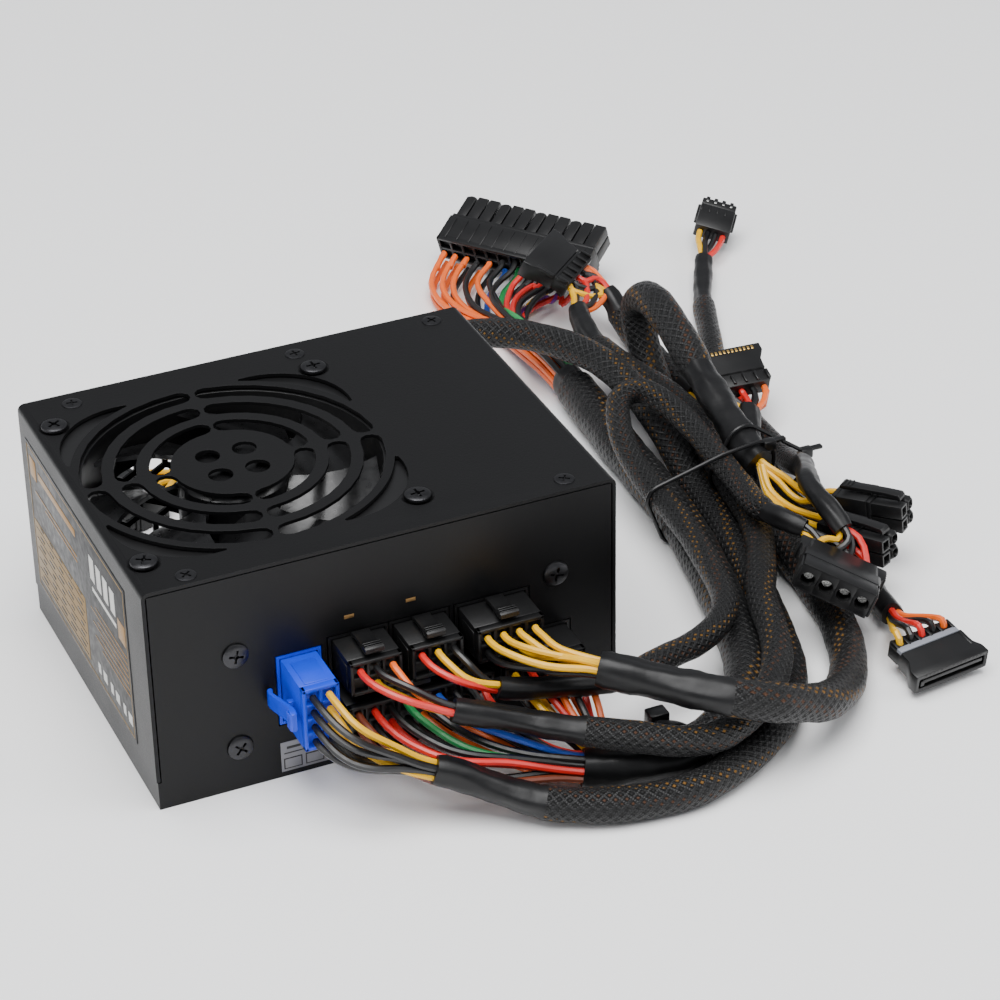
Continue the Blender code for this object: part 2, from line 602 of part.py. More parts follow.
def make_switch():
    """The mains switch: a snap-in housing with a rocker on an upright axis."""
    body = box("power_switch_body", (19.2 * MM, 15 * MM, 12.8 * MM),
               (SWITCH_X, REAR_Y - 7.5 * MM + GAP, SWITCH_Z), "black_plastic")
    join(body, between("switch_flange",
                       (SWITCH_X - 10.8 * MM, REAR_Y + GAP, SWITCH_Z - 7.6 * MM),
                       (SWITCH_X + 10.8 * MM, REAR_Y + 1.9 * MM, SWITCH_Z + 7.6 * MM)))
    cut(body, box("switch_room", (16.8 * MM, 18 * MM, 10.6 * MM),
                  (SWITCH_X, REAR_Y - 1.5 * MM, SWITCH_Z)))
    outline = arc(0, 0, 8.0 * MM, -38, 24, 7) + [(0, 1.7 * MM)]
    outline += [(-x, y) for x, y in reversed(arc(0, 0, 8.0 * MM, -38, 24, 7))]
    rocker = plate("power_switch_rocker", outline, 9.8 * MM, "black_plastic")
    rocker.location = (SWITCH_X, REAR_Y, SWITCH_Z)
    rocker.rotation_euler = (0, 0, math.radians(-ROCKER_TILT))


# ---------------------------------------------------------------- electronics

def make_electronics():
    """The circuit board and what stands on it."""
    between("insulating_sheet", (-59 * MM, -32 * MM, SHEET + GAP),
            (59 * MM, 46 * MM, SHEET + GAP + 0.4 * MM), "film")
    between("main_circuit_board", (-59.5 * MM, -33 * MM, BOARD_Z),
            (59.5 * MM, 30.5 * MM, BOARD_Z + BOARD_THICKNESS), "board")
    make_heatsink("primary_heatsink", -2 * MM, 24 * MM, 36 * MM, 34 * MM, 5)
    make_heatsink("secondary_heatsink", -30 * MM, -18 * MM, 44 * MM, 34 * MM, 6)
    round_bar("bulk_capacitor", 13 * MM, 42 * MM, (46 * MM, -12 * MM, BOARD_TOP + 21 * MM),
              material="capacitor_sleeve", sides=28)
    make_toroid("pfc_choke", (22 * MM, -6 * MM), 11 * MM, 5 * MM)
    make_toroid("output_choke", (-46 * MM, 15 * MM), 9.5 * MM, 4.2 * MM)
    make_transformer("main_transformer", (-14 * MM, 2 * MM), (26, 22, 25))
    make_transformer("standby_transformer", (-42 * MM, -3.5 * MM), (15, 13, 16))
    make_transformer("filter_choke", (46 * MM, 16 * MM), (20, 16, 20))
    between("bridge_rectifier", (20 * MM, 8 * MM, BOARD_TOP + 3 * MM),
            (31 * MM, 11.6 * MM, BOARD_TOP + 22 * MM), "epoxy", 0.4 * MM)


def make_heatsink(name, x, y, length, height, fins):
    """An upright aluminium plate with fins towards the back."""
    sink = between(name, (x - length / 2, y - 1.5 * MM, BOARD_TOP),
                   (x + length / 2, y + 1.5 * MM, BOARD_TOP + height), "aluminium")
    for number in range(fins):
        fin = x - length / 2 + 1 * MM + number * (length - 2 * MM) / (fins - 1)
        join(sink, between("fin", (fin - 0.6 * MM, y, BOARD_TOP + height * 0.4),
                           (fin + 0.6 * MM, y + 5 * MM, BOARD_TOP + height)))


def make_toroid(name, place, radius, thick):
    """A wound ring core lying on the board."""
    bpy.ops.mesh.primitive_torus_add(major_radius=radius - thick, minor_radius=thick,
                                     major_segments=28, minor_segments=10)
    ring = bpy.context.object
    for group in list(ring.users_collection):
        group.objects.unlink(ring)
    PARTS.objects.link(ring)
    ring.name = ring.data.name = name
    ring.data.materials.clear()
    ring.data.materials.append(make_material("copper"))
    ring.data.shade_smooth()
    ring.location = (place[0], place[1], BOARD_TOP + thick)


def make_transformer(name, place, size):
    """A wound block between the two halves of its ferrite core."""
    x, y = place
    wide, deep, high = (length * MM for length in size)
    block = between(name, (x - wide / 2, y - deep / 2, BOARD_TOP),
                    (x + wide / 2, y + deep / 2, BOARD_TOP + high), "ferrite")
    for side in (-1, 1):
        cut(block, box("winding_room", (wide * 0.7, deep * 0.24, high * 2),
                       (x, y + side * deep / 2, BOARD_TOP + high / 2)))
    join(block, box("winding", (wide * 0.6, deep * 0.98, high * 0.7),
                    (x, y, BOARD_TOP + high * 0.5)))


# ---------------------------------------------------------------- sockets and plugs

def make_socket_board():
    """The upright board behind the connector panel."""
    back = PANEL_Y + SOCKET_DEPTH + GAP
    between("socket_board", (-34 * MM, back, 8 * MM), (52 * MM, back + 1.6 * MM, 46 * MM),
            "board")


def make_socket(plug):
    """One board socket, open towards the panel."""
    name, columns, x, z, _, upright, _ = plug
    wide, high = socket_size(columns, upright)
    socket = between(name + "_socket",
                     (x * MM - wide / 2, PANEL_Y, z * MM - high / 2),
                     (x * MM + wide / 2, PANEL_Y + SOCKET_DEPTH, z * MM + high / 2),
                     "black_plastic")
    wall = SOCKET_WALL
    cut(socket, between("socket_room",
                        (x * MM - wide / 2 + wall, PANEL_Y - 1 * MM,
                         z * MM - high / 2 + wall),
                        (x * MM + wide / 2 - wall, PANEL_Y + SOCKET_DEPTH - 1 * MM,
                         z * MM + high / 2 - wall)))


def wire_pockets(columns, rows, face_y, centre=(0, 0), pocket=2.6 * MM, upright=False):
    """The pockets that the wires go in at, on a face that looks towards -Y."""
    pockets = []
    for column in range(columns):
        for row in range(rows):
            along = (column - (columns - 1) / 2) * CELL
            across = (row - (rows - 1) / 2) * CELL
            x, z = (across, along) if upright else (along, across)
            pockets.append(box("pocket", (pocket, 4 * MM, pocket),
                               (centre[0] + x, face_y, centre[1] + z)))
    return merged_cutters("wire_pockets", pockets)


def make_plug(plug):
    """One modular plug, with pockets for its wires at the outer face."""
    name, columns, x, z, out, upright, colour = plug
    wide, high = plug_outline(columns, upright)
    body = between(name + "_plug",
                   (x * MM - wide / 2, PANEL_Y - out * MM, z * MM - high / 2),
                   (x * MM + wide / 2, PANEL_Y + PLUG_INSIDE, z * MM + high / 2),
                   colour + "_plastic")
    cut(body, wire_pockets(columns, 2, PANEL_Y - out * MM, (x * MM, z * MM),
                           upright=upright))
    make_latch(plug)


def make_latch(plug):
    """The thumb lever on a plug: it rocks on its post and lifts its hook off the socket."""
    name, columns, x, z, out, upright, colour = plug
    wide, high = plug_outline(columns, upright)
    rise, thick, width = 1.0 * MM, 1.2 * MM, 5.0 * MM
    length = out * MM - 1.6 * MM
    pivot_y = PANEL_Y - 1.0 * MM - length / 2
    lever = box(name + "_plug_latch", (width, length, thick), (0, 0, 0),
                colour + "_plastic")
    join(lever,
         box("latch_post", (width, 1.4 * MM, rise + 0.2 * MM - GAP),
             (0, 0, -thick / 2 - (rise + 0.2 * MM - GAP) / 2 + 0.2 * MM)),
         box("latch_hook", (width, 1.4 * MM, 0.8 * MM),
             (0, length / 2 - 0.7 * MM, -thick / 2 - 0.2 * MM)))
    baked(lever)
    if upright:
        turn = Euler((0, -math.pi / 2, 0)).to_matrix().to_4x4()
        place = Vector((x * MM - wide / 2 - rise - thick / 2, pivot_y, z * MM))
    else:
        turn = Matrix.Identity(4)
        place = Vector((x * MM, pivot_y, z * MM + high / 2 + rise + thick / 2))
    lever.matrix_world = Matrix.Translation(place) @ turn


# ---------------------------------------------------------------- end connectors

def stand(obj, name):
    """Put a connector, modelled about its own centre, where it lies."""
    centre, (yaw, pitch, roll) = CONNECTORS[name]
    turn = (Matrix.Rotation(math.radians(yaw), 4, "Z")
            @ Matrix.Rotation(math.radians(pitch), 4, "X")
            @ Matrix.Rotation(math.radians(roll), 4, "Y"))
    baked(obj)
    obj.data.transform(obj.matrix_basis)
    obj.matrix_world = Matrix.Translation(Vector(centre) * MM) @ turn


def make_terminal_block(name, columns):
    """A two-row connector: a housing with one stepped sleeve for each terminal."""
    length = TERMINAL_BLOCK_LENGTH * MM
    wide = columns * CELL + 1.2 * MM
    body = box(name, (wide, length * 0.5, PLUG_HEIGHT), (0, -length * 0.25, 0),
               "black_plastic")
    join(body, box("sleeves", (wide - 1.6 * MM, length * 0.52, PLUG_HEIGHT - 1.4 * MM),
                   (0, length * 0.24, 0)))
    grooves = [box("groove", (0.8 * MM, length * 0.6, 2 * PLUG_HEIGHT),
                   ((column - columns / 2) * CELL, length * 0.31, 0))
               for column in range(1, columns)]
    for groove in grooves:
        low = box("middle_web", (2 * MM, length, 2.2 * MM), groove.location)
        cut(groove, low)
        bpy.context.view_layer.update()
    cut(body, merged_cutters("grooves", grooves),
        wire_pockets(columns, 2, -length / 2))
    stand(body, name)


def make_sata_connector(name):
    """A flat serial drive power connector with its slot at the mating end."""
    wide, length, high = (value * MM for value in SATA_SIZE)
    body = box(name, (wide, length * 0.62, high), (0, length * 0.19, 0), "black_plastic")
    join(body, box("wire_block", (wide * 0.84, length * 0.42, high * 0.86),
                   (0, -length * 0.29, 0)))
    cut(body, box("slot", (wide - 3 * MM, 8 * MM, high * 0.42), (0, length / 2, 0)))
    stand(body, name)


def make_peripheral_connector(name):
    """A four way peripheral connector with round sockets and finger grips."""
    wide, length, high = (value * MM for value in PERIPHERAL_SIZE)
    body = box(name, (21 * MM, length, high), (0, 0, 0), "black_plastic")
    join(body, box("grips", (wide, length * 0.4, high * 0.8), (0, -length * 0.2, 0)))
    holes = [round_bar("round_socket", 1.6 * MM, 8 * MM,
                       ((i - 1.5) * 5.08 * MM, length / 2, 0), axis="Y", sides=12)
             for i in range(4)]
    pockets = [round_bar("wire_entry", 1.6 * MM, 6 * MM,
                         ((i - 1.5) * 5.08 * MM, -length / 2, 0), axis="Y", sides=10)
               for i in range(4)]
    cut(body, merged_cutters("round_sockets", holes + pockets))
    stand(body, name)


def make_floppy_connector(name):
    """A small four way connector with open terminal windows."""
    wide, length, high = (value * MM for value in FLOPPY_SIZE)
    body = box(name, (wide, length, high), (0, 0, 0), "black_plastic")
    windows = [box("window", (1.3 * MM, 6 * MM, 3 * MM),
                   ((i - 1.5) * 2.5 * MM, length / 2, 0)) for i in range(4)]
    cut(body, merged_cutters("windows", windows))
    stand(body, name)


# ---------------------------------------------------------------- leads

def smooth_route(points, steps=6):
    """Points along a smooth curve through the route's own points."""
    points = [Vector(point) for point in points]
    line = [2 * points[0] - points[1]] + points + [2 * points[-1] - points[-2]]
    out = []
    for i in range(1, len(line) - 2):
        for step in range(steps):
            out.append(spline_point(line[i - 1:i + 3], step / steps))
    return out + [points[-1]]


def spline_point(four, share):
    """A point of the centripetal Catmull-Rom curve between the middle two of four points."""
    knots = [0.0]
    for first, second in zip(four, four[1:]):
        knots.append(knots[-1] + math.sqrt((second - first).length))
    at = knots[1] + (knots[2] - knots[1]) * share
    level = list(four)
    for order in (1, 2):
        level = [between_knots(level[i], level[i + 1], knots[i], knots[i + order], at)
                 for i in range(4 - order)]
    return between_knots(level[0], level[1], knots[1], knots[2], at)


def between_knots(first, second, low, high, at):
    """The point that lies as far from first to second as at lies from low to high."""
    return first.lerp(second, (at - low) / (high - low))


def make_lead(name):
    """A lead as one tube: thinner where its wires run bare at its ends."""
    radius, (start_length, start_radius), (end_length, end_radius), route = LEADS[name]
    fine = smooth_route(route)
    along = [0.0]
    for first, second in zip(fine, fine[1:]):
        along.append(along[-1] + (second - first).length)
    distances = tube_distances(along[-1], radius, start_length, end_length)
    tube = bpy.data.curves.new(name, "CURVE")
    tube.dimensions = "3D"
    tube.bevel_depth = radius * MM
    tube.bevel_resolution = 2
    tube.use_fill_caps = True
    spline = tube.splines.new("POLY")
    spline.points.add(len(distances) - 1)
    for point, distance in zip(spline.points, distances):
        point.co = (*(point_at(fine, along, distance) * MM), 1)
        if distance < start_length:
            point.radius = start_radius / radius
        elif distance > along[-1] - end_length:
            point.radius = end_radius / radius
    mesh_object(name, bpy.data.objects.new(name, tube), "sleeving", smooth=True)


def tube_distances(length, radius, start_length, end_length):
    """Where a tube has its points: closer together at its ends than in the middle."""
    stub = 3.0
    first, last = max(start_length, stub), length - max(end_length, stub)
    out = [0.0]
    for low, high, spacing in ((stub, first, radius), (first, last, 4.6 * radius),
                               (last, length - stub, radius)):
        count = max(1, round((high - low) / spacing))
        out += [low + (high - low) * number / count for number in range(count)]
    return out + [length - stub, length]


def point_at(line, along, distance):
    """The point of a line at a distance along it."""
    for i in range(1, len(line)):
        if along[i] >= distance or i == len(line) - 1:
            share = (distance - along[i - 1]) / (along[i] - along[i - 1])
            return line[i - 1].lerp(line[i], min(1.0, share))
    return line[-1]


# ---------------------------------------------------------------- the whole object

def main():
    """Build every piece."""
    make_tray()
    make_cover()
    make_fan()
    make_inlet()
    make_switch()
    make_electronics()
    make_socket_board()
    for plug in PLUGS:
        make_socket(plug)
        make_plug(plug)
    make_terminal_block("main_connector", 12)
    make_terminal_block("cpu_connector_1", 2)
    make_terminal_block("cpu_connector_2", 2)
    make_terminal_block("graphics_connector", 4)
    for number in (1, 2, 3):
        make_sata_connector(f"drive_connector_{number}")
    make_peripheral_connector("peripheral_connector")
    make_floppy_connector("floppy_connector")
    for name in LEADS:
        make_lead(name)


clear_scene()
PARTS = new_collection("power_supply")
CUTTERS = new_collection("cutters")
main()
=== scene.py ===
"""Looks of a compact modular computer power supply with its leads plugged in.

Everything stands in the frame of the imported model: metres, +Z up, the origin in the middle of
the casing's bottom, the connector panel facing -Y. Sizes inside the classes are in
millimetres, because that is what the makers of these parts use.
"""
import logging
import math
import random
from dataclasses import dataclass
from enum import Enum, IntEnum

import bmesh
import bpy
from mathutils import Matrix, Vector


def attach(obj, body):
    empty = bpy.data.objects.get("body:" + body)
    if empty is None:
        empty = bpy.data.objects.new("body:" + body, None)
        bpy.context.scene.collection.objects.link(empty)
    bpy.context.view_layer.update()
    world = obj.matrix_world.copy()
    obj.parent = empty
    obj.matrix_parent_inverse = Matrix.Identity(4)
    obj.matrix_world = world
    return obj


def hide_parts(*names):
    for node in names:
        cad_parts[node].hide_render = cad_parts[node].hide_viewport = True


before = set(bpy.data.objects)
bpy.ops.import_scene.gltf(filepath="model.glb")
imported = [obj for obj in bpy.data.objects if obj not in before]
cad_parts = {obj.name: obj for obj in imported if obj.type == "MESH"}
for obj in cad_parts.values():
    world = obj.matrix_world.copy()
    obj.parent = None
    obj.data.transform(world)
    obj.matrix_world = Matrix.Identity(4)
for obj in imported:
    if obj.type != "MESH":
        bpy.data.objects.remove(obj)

log = logging.getLogger("power_supply")
MM = 0.001
CASING = "casing"
CELL = 4.2            # a terminal's square cell
WALL = 1.2            # what a housing's walls add to its cells
WIRE_RADIUS = 0.95
CLEAR = 0.05          # the least height of a lead's skin over the table
BLOCK_BACK = -10.25   # the wire faces of the free connectors, along their own Y
DRIVE_BACK = -7.75
PERIPHERAL_BACK = -9.5
FLOPPY_BACK = -7.0
Colour = tuple[float, float, float]
Point = tuple[float, float, float]
Pair = tuple[float, float]


# ---------------------------------------------------------------- finishes

class Mixer:
    """The node tree of one material while it is being wired up."""

    def __init__(self, name: str) -> None:
        """Start a material of that name.

        Args:
            name: the name.
        """
        self.material = bpy.data.materials.new(name)
        self.material.use_nodes = True
        self.tree = self.material.node_tree
        self.shader = self.tree.nodes["Principled BSDF"]

    def add(self, kind: str, sockets: dict | None = None, **options: object) -> bpy.types.Node:
        """Add a node, set its options and fill its sockets.

        Args:
            kind: the node's type, without its ShaderNode prefix.
            sockets: values, or outputs of other nodes, by socket name or number.
            options: settings of the node itself.

        Returns:
            The new node.
        """
        node = self.tree.nodes.new("ShaderNode" + kind)
        for option, value in options.items():
            setattr(node, option, value)
        for socket, value in (sockets or {}).items():
            self.fill(node.inputs[socket], value)
        return node

    def fill(self, socket: bpy.types.NodeSocket, value: object) -> None:
        """Link another node's output to a socket, or set the socket's value.

        Args:
            socket: the socket to fill.
            value: another node's output, or a plain value.
        """
        if isinstance(value, bpy.types.NodeSocket):
            self.tree.links.new(value, socket)
        else:
            socket.default_value = value

    def calc(self, operation: str, *values: object) -> bpy.types.NodeSocket:
        """The result of a Math node."""
        return self.add("Math", dict(enumerate(values)), operation=operation).outputs[0]

    def position(self) -> bpy.types.NodeSocket:
        """The place on the object, in metres."""
        return self.add("TexCoord").outputs["Object"]

    def noise(self, scale: float, detail: float = 3.0,
              stretch: Point = (1, 1, 1)) -> bpy.types.NodeSocket:
        """Soft noise over the object.

        Args:
            scale: how many features there are in a metre.
            detail: how many finer layers it has.
            stretch: how much faster it changes along each axis.

        Returns:
            The noise, from 0 to 1.
        """
        place = self.add("Mapping", {"Vector": self.position(), "Scale": stretch})
        return self.add("TexNoise", {"Vector": place.outputs[0], "Scale": scale,
                                     "Detail": detail}).outputs["Fac"]

    def spread(self, factor: object, low: float, high: float,
               start: float = 0.25, end: float = 0.75) -> bpy.types.NodeSocket:
        """Map a factor from start..end to low..high."""
        return self.add("MapRange", {0: factor, 1: start, 2: end, 3: low, 4: high}).outputs[0]

    def blend(self, factor: object, first: object, second: object) -> bpy.types.NodeSocket:
        """Mix two colours by a factor.

        Args:
            factor: the share of the second.
            first: a colour or an output.
            second: another.

        Returns:
            The mixed colour.
        """
        first, second = (opaque(c) if isinstance(c, tuple) else c for c in (first, second))
        node = self.add("Mix", {0: factor, 6: first, 7: second}, data_type="RGBA")
        return node.outputs[2]

    def bump(self, height: object, depth: float, strength: float = 0.5,
             under: object = None) -> bpy.types.NodeSocket:
        """Relief from a height, over another relief where one is given.

        Args:
            height: the height, from 0 to 1.
            depth: what 1 stands for, in millimetres.
            strength: how much of it shows.
            under: the relief below it.

        Returns:
            The relief.
        """
        sockets = {"Height": height, "Distance": depth * MM, "Strength": strength}
        if under:
            sockets["Normal"] = under
        return self.add("Bump", sockets).outputs[0]

    def done(self, sockets: dict) -> bpy.types.Material:
        """Fill the shader's sockets and hand over the material.

        Args:
            sockets: values or outputs, by the socket's name.

        Returns:
            The material.
        """
        for socket, value in sockets.items():
            self.fill(self.shader.inputs[socket],
                      opaque(value) if socket == "Base Color" and isinstance(value, tuple)
                      else value)
        return self.material


def opaque(colour: Colour) -> tuple[float, float, float, float]:
    """A colour with full alpha."""
    return (*colour, 1.0)


def shade(colour: Colour, factor: float) -> Colour:
    """A lighter or darker version of a colour."""
    return tuple(min(1.0, channel * factor) for channel in colour)


def spaced(count: int, pitch: float) -> list[float]:
    """Evenly spaced places, centred on zero."""
    return [(number - (count - 1) / 2) * pitch for number in range(count)]


def circle(sides: int) -> list[Pair]:
    """The cosine and sine of evenly spaced angles."""
    angles = [2 * math.pi * step / sides for step in range(sides)]
    return [(math.cos(angle), math.sin(angle)) for angle in angles]


@dataclass(frozen=True)
class Finish:
    """A named finish, whose material is made once and shared."""

    name: str
    colour: Colour = (0.02, 0.02, 0.02)
    roughness: float = 0.45

    def material(self) -> bpy.types.Material:
        """The finish's material."""
        return bpy.data.materials.get(self.name) or self.mix(Mixer(self.name))

    def mix(self, m: Mixer) -> bpy.types.Material:
        """Wire up the material: smooth moulded plastic with a fine grain and faint flow marks.

        Args:
            m: the node tree under way.

        Returns:
            The finished material.
        """
        grain, flow = m.noise(2600, 2), m.noise(90, 3, (1, 1, 2.5))
        return m.done({
            "Base Color": m.blend(flow, shade(self.colour, 0.85), shade(self.colour, 1.25)),
            "Roughness": m.spread(flow, self.roughness - 0.06, self.roughness + 0.08),
            "Specular IOR Level": 0.4,
            "Normal": m.bump(grain, 0.03, 0.35)})


@dataclass(frozen=True)
class PowderCoat(Finish):
    """Black powder coat on steel: an orange peel of fine grains, a little worn and dusty."""

    def mix(self, m: Mixer) -> bpy.types.Material:
        """Wire up the material.

        Args:
            m: the node tree under way.

        Returns:
            The finished material.
        """
        grain, peel, broad = m.noise(3800, 2), m.noise(1100, 2), m.noise(34, 4)
        speck = m.spread(m.noise(5200, 1), 0, 1, 0.62, 0.72)
        base = m.blend(broad, shade(self.colour, 0.86), shade(self.colour, 1.18))
        return m.done({
            "Base Color": m.blend(m.calc("MULTIPLY", speck, 0.22), base,
                                  shade(self.colour, 3.2)),
            "Roughness": m.spread(m.calc("MULTIPLY_ADD", grain, 0.5, m.calc(
                "MULTIPLY", broad, 0.5)), self.roughness - 0.08, self.roughness + 0.1),
            "Specular IOR Level": 0.2,
            "Normal": m.bump(grain, 0.05, 0.45, m.bump(peel, 0.06, 0.3))})


@dataclass(frozen=True)
class Gloss(Finish):
    """Glossy injection moulding, as on fan blades and label film."""

    coat: float = 0.5

    def mix(self, m: Mixer) -> bpy.types.Material:
        """Wire up the material.

        Args:
            m: the node tree under way.

        Returns:
            The finished material.
        """
        ripple = m.noise(140, 2)
        return m.done({
            "Base Color": m.blend(ripple, shade(self.colour, 0.9), shade(self.colour, 1.15)),
            "Roughness": m.spread(m.noise(500, 3), self.roughness * 0.8, self.roughness * 1.35),
            "Coat Weight": self.coat, "Coat Roughness": 0.08,
            "Normal": m.bump(ripple, 0.04, 0.25)})


@dataclass(frozen=True)
class Metal(Finish):
    """Bare or plated metal with fine drawing lines along one axis."""

    lines: Point = (1, 1, 12)

    def mix(self, m: Mixer) -> bpy.types.Material:
        """Wire up the material.

        Args:
            m: the node tree under way.

        Returns:
            The finished material.
        """
        drawn, stain = m.noise(700, 3, self.lines), m.noise(160, 3)
        return m.done({
            "Base Color": m.blend(stain, shade(self.colour, 0.82), shade(self.colour, 1.12)),
            "Metallic": 1.0,
            "Roughness": m.spread(drawn, self.roughness - 0.08, self.roughness + 0.14),
            "Normal": m.bump(drawn, 0.02, 0.4)})


@dataclass(frozen=True)
class Insulation(Finish):
    """Soft vinyl insulation of one wire, with a faint shine and small scuffs."""

    def mix(self, m: Mixer) -> bpy.types.Material:
        """Wire up the material.

        Args:
            m: the node tree under way.

        Returns:
            The finished material.
        """
        scuff = m.noise(420, 4)
        return m.done({
            "Base Color": m.blend(scuff, shade(self.colour, 0.82), shade(self.colour, 1.12)),
            "Roughness": m.spread(scuff, self.roughness - 0.07, self.roughness + 0.12),
            "Coat Weight": 0.15, "Coat Roughness": 0.25,
            "Normal": m.bump(m.noise(900, 2), 0.03, 0.3)})


@dataclass(frozen=True)
class Braid(Finish):
    """Braided polyester sleeving: crossing strands with a painted highlight on their crests and
    painted shade in their dips, and the wires seen through the gaps in painted shade.
    """

    wires: tuple[Colour, ...] = ((0.02, 0.02, 0.02),)
    strands: int = 16
    pitch: float = 1.75
    open_weave: float = 0.0

    def strand(self, m: Mixer, along: object, around: object, turn: int,
               count: float) -> bpy.types.NodeSocket:
        """One family of strands as a wave from -1 to 1.

        Args:
            m: the material under way.
            along: the distance along the lead, in metres.
            around: the share of a turn round the lead.
            turn: 1 or -1, for the way the strands wind.
            count: how many there are for each of the sleeve's strands.

        Returns:
            The wave.
        """
        run = m.calc("MULTIPLY", along, 2 * math.pi * count / (self.pitch * MM))
        wind = m.calc("MULTIPLY", around, 2 * math.pi * self.strands * turn * count)
        return m.calc("SINE", m.calc("ADD", run, wind))

    def mix(self, m: Mixer) -> bpy.types.Material:
        """Wire up the material.

        Args:
            m: the node tree under way.

        Returns:
            The finished material.
        """
        split = m.add("SeparateXYZ", {0: m.add("TexCoord").outputs["UV"]})
        along, around = split.outputs[0], split.outputs[1]
        right, left = (self.strand(m, along, around, turn, 1.0) for turn in (1, -1))
        fibre = m.calc("ADD", self.strand(m, along, around, 1, 3.0),
                       self.strand(m, along, around, -1, 3.0))
        cover = m.calc("MAXIMUM", right, left)
        height = m.calc("MULTIPLY_ADD", fibre, 0.16, cover)
        loose = m.noise(70, 3)
        gap = m.spread(m.calc("MULTIPLY_ADD", loose, -0.9, cover), 1.0, 0.0,
                       -1.0 + self.open_weave, -0.55 + self.open_weave)
        ramp = m.add("ValToRGB", {0: m.calc("FRACT", m.calc(
            "MULTIPLY_ADD", along, 14.0, m.calc("MULTIPLY", around, 2.0)))})
        ramp.color_ramp.interpolation = "CONSTANT"
        stops = ramp.color_ramp.elements
        stops[0].color = opaque(self.wires[0])
        for number, wire in enumerate(self.wires[1:], 1):
            stop = stops[1] if number == 1 else stops.new(0.5)
            stop.position = number / len(self.wires)
            stop.color = opaque(wire)
        # Painted highlight and painted shade: by the weave's height, the strands' crests are
        # lightened and the dips between them darkened.
        thread_painted_light = m.blend(m.spread(height, 0, 1, -0.2, 1.1), shade(self.colour, 0.35),
                         shade(self.colour, 1.8))
        return m.done({
            "Base Color": m.blend(gap, thread_painted_light, ramp.outputs[0]),
            "Roughness": m.spread(height, self.roughness + 0.22, self.roughness, -0.6, 1.0),
            "Specular IOR Level": 0.3, "Sheen Weight": 0.02, "Sheen Roughness": 0.35,
            "Normal": m.bump(height, 0.32, 0.9)})


@dataclass(frozen=True)
class Shrunk(Finish):
    """Heat shrink tubing drawn tight over wires: satin, with soft ridges and wrinkles."""

    def mix(self, m: Mixer) -> bpy.types.Material:
        """Wire up the material.

        Args:
            m: the node tree under way.

        Returns:
            The finished material.
        """
        split = m.add("SeparateXYZ", {0: m.add("TexCoord").outputs["UV"]})
        ridge = m.calc("SINE", m.calc("MULTIPLY_ADD", split.outputs[1], 2 * math.pi * 7,
                                      m.calc("MULTIPLY", m.noise(60, 2), 5.0)))
        wrinkle, fine = m.noise(220, 4), m.noise(1600, 2)
        relief = m.bump(fine, 0.03, 0.4, m.bump(wrinkle, 0.35, 0.45, m.bump(ridge, 0.12, 0.5)))
        return m.done({
            "Base Color": m.blend(wrinkle, shade(self.colour, 0.8), shade(self.colour, 1.5)),
            "Roughness": m.spread(wrinkle, self.roughness - 0.06, self.roughness + 0.12),
            "Specular IOR Level": 0.32,
            "Normal": relief})


@dataclass(frozen=True)
class CircuitBoard(Finish):
    """Solder resist over copper tracks."""

    def mix(self, m: Mixer) -> bpy.types.Material:
        """Wire up the material.

        Args:
            m: the node tree under way.

        Returns:
            The finished material.
        """
        cells = m.add("TexVoronoi", {"Vector": m.position(), "Scale": 210.0},
                      distance="MANHATTAN", feature="F1")
        track = m.spread(cells.outputs["Distance"], 1, 0, 0.3, 0.36)
        return m.done({
            "Base Color": m.blend(track, self.colour, shade(self.colour, 1.8)),
            "Roughness": m.spread(m.noise(300), self.roughness - 0.1, self.roughness + 0.1),
            "Coat Weight": 0.3, "Normal": m.bump(track, 0.06, 0.5)})


class WireColour(Enum):
    """The colour code of the wires, by the letter used in the connectors' layouts."""

    YELLOW = ("Y", (0.8, 0.43, 0.0))
    BLACK = ("K", (0.006, 0.006, 0.0065))
    RED = ("R", (0.62, 0.018, 0.014))
    ORANGE = ("O", (0.82, 0.13, 0.012))
    BLUE = ("B", (0.02, 0.09, 0.5))
    GREEN = ("G", (0.02, 0.26, 0.07))
    BROWN = ("N", (0.14, 0.03, 0.012))
    GREY = ("E", (0.25, 0.25, 0.26))
    VIOLET = ("V", (0.16, 0.03, 0.3))

    @property
    def finish(self) -> Insulation:
        """The finish of a wire of this colour."""
        return Insulation("wire_" + self.name.lower(), self.value[1], 0.36)


WIRE_FINISHES = [wire.finish for wire in WireColour]
WIRE_SLOTS = {wire.value[0]: number for number, wire in enumerate(WireColour)}

COAT = PowderCoat("powder_coat", (0.0045, 0.0045, 0.0048), 0.34)
BLACK_NYLON = Finish("black_nylon", (0.005, 0.005, 0.0053), 0.37)
BLUE_NYLON = Finish("blue_nylon", (0.003, 0.04, 0.62), 0.36)
GREY_TONGUE = Finish("grey_nylon", (0.2, 0.21, 0.24), 0.45)
FAN_GLOSS = Gloss("fan_gloss", (0.006, 0.006, 0.0065), 0.3, 0.12)
SCREW_BLACK = Metal("black_oxide", (0.05, 0.05, 0.053), 0.34)
STEEL = Metal("plated_steel", (0.62, 0.62, 0.6), 0.24)
GOLD_CONTACT = Metal("gold_contact", (0.8, 0.52, 0.16), 0.28)
# Heatsink aluminium kept dark: partly the heatsinks' own dark finish, partly painted shade inside the
# casing.
ALUMINIUM_DARK_AND_PAINTED_SHADE = Metal("extruded_aluminium", (0.13, 0.132, 0.136), 0.45, (1, 14, 1))
# Choke copper darkened as painted shade inside the casing.
COPPER_IN_PAINTED_SHADE = Metal("enamelled_copper", (0.3, 0.1, 0.04), 0.36, (9, 9, 1))
SHRINK = Shrunk("shrink_tube", (0.0048, 0.0048, 0.0052), 0.38)
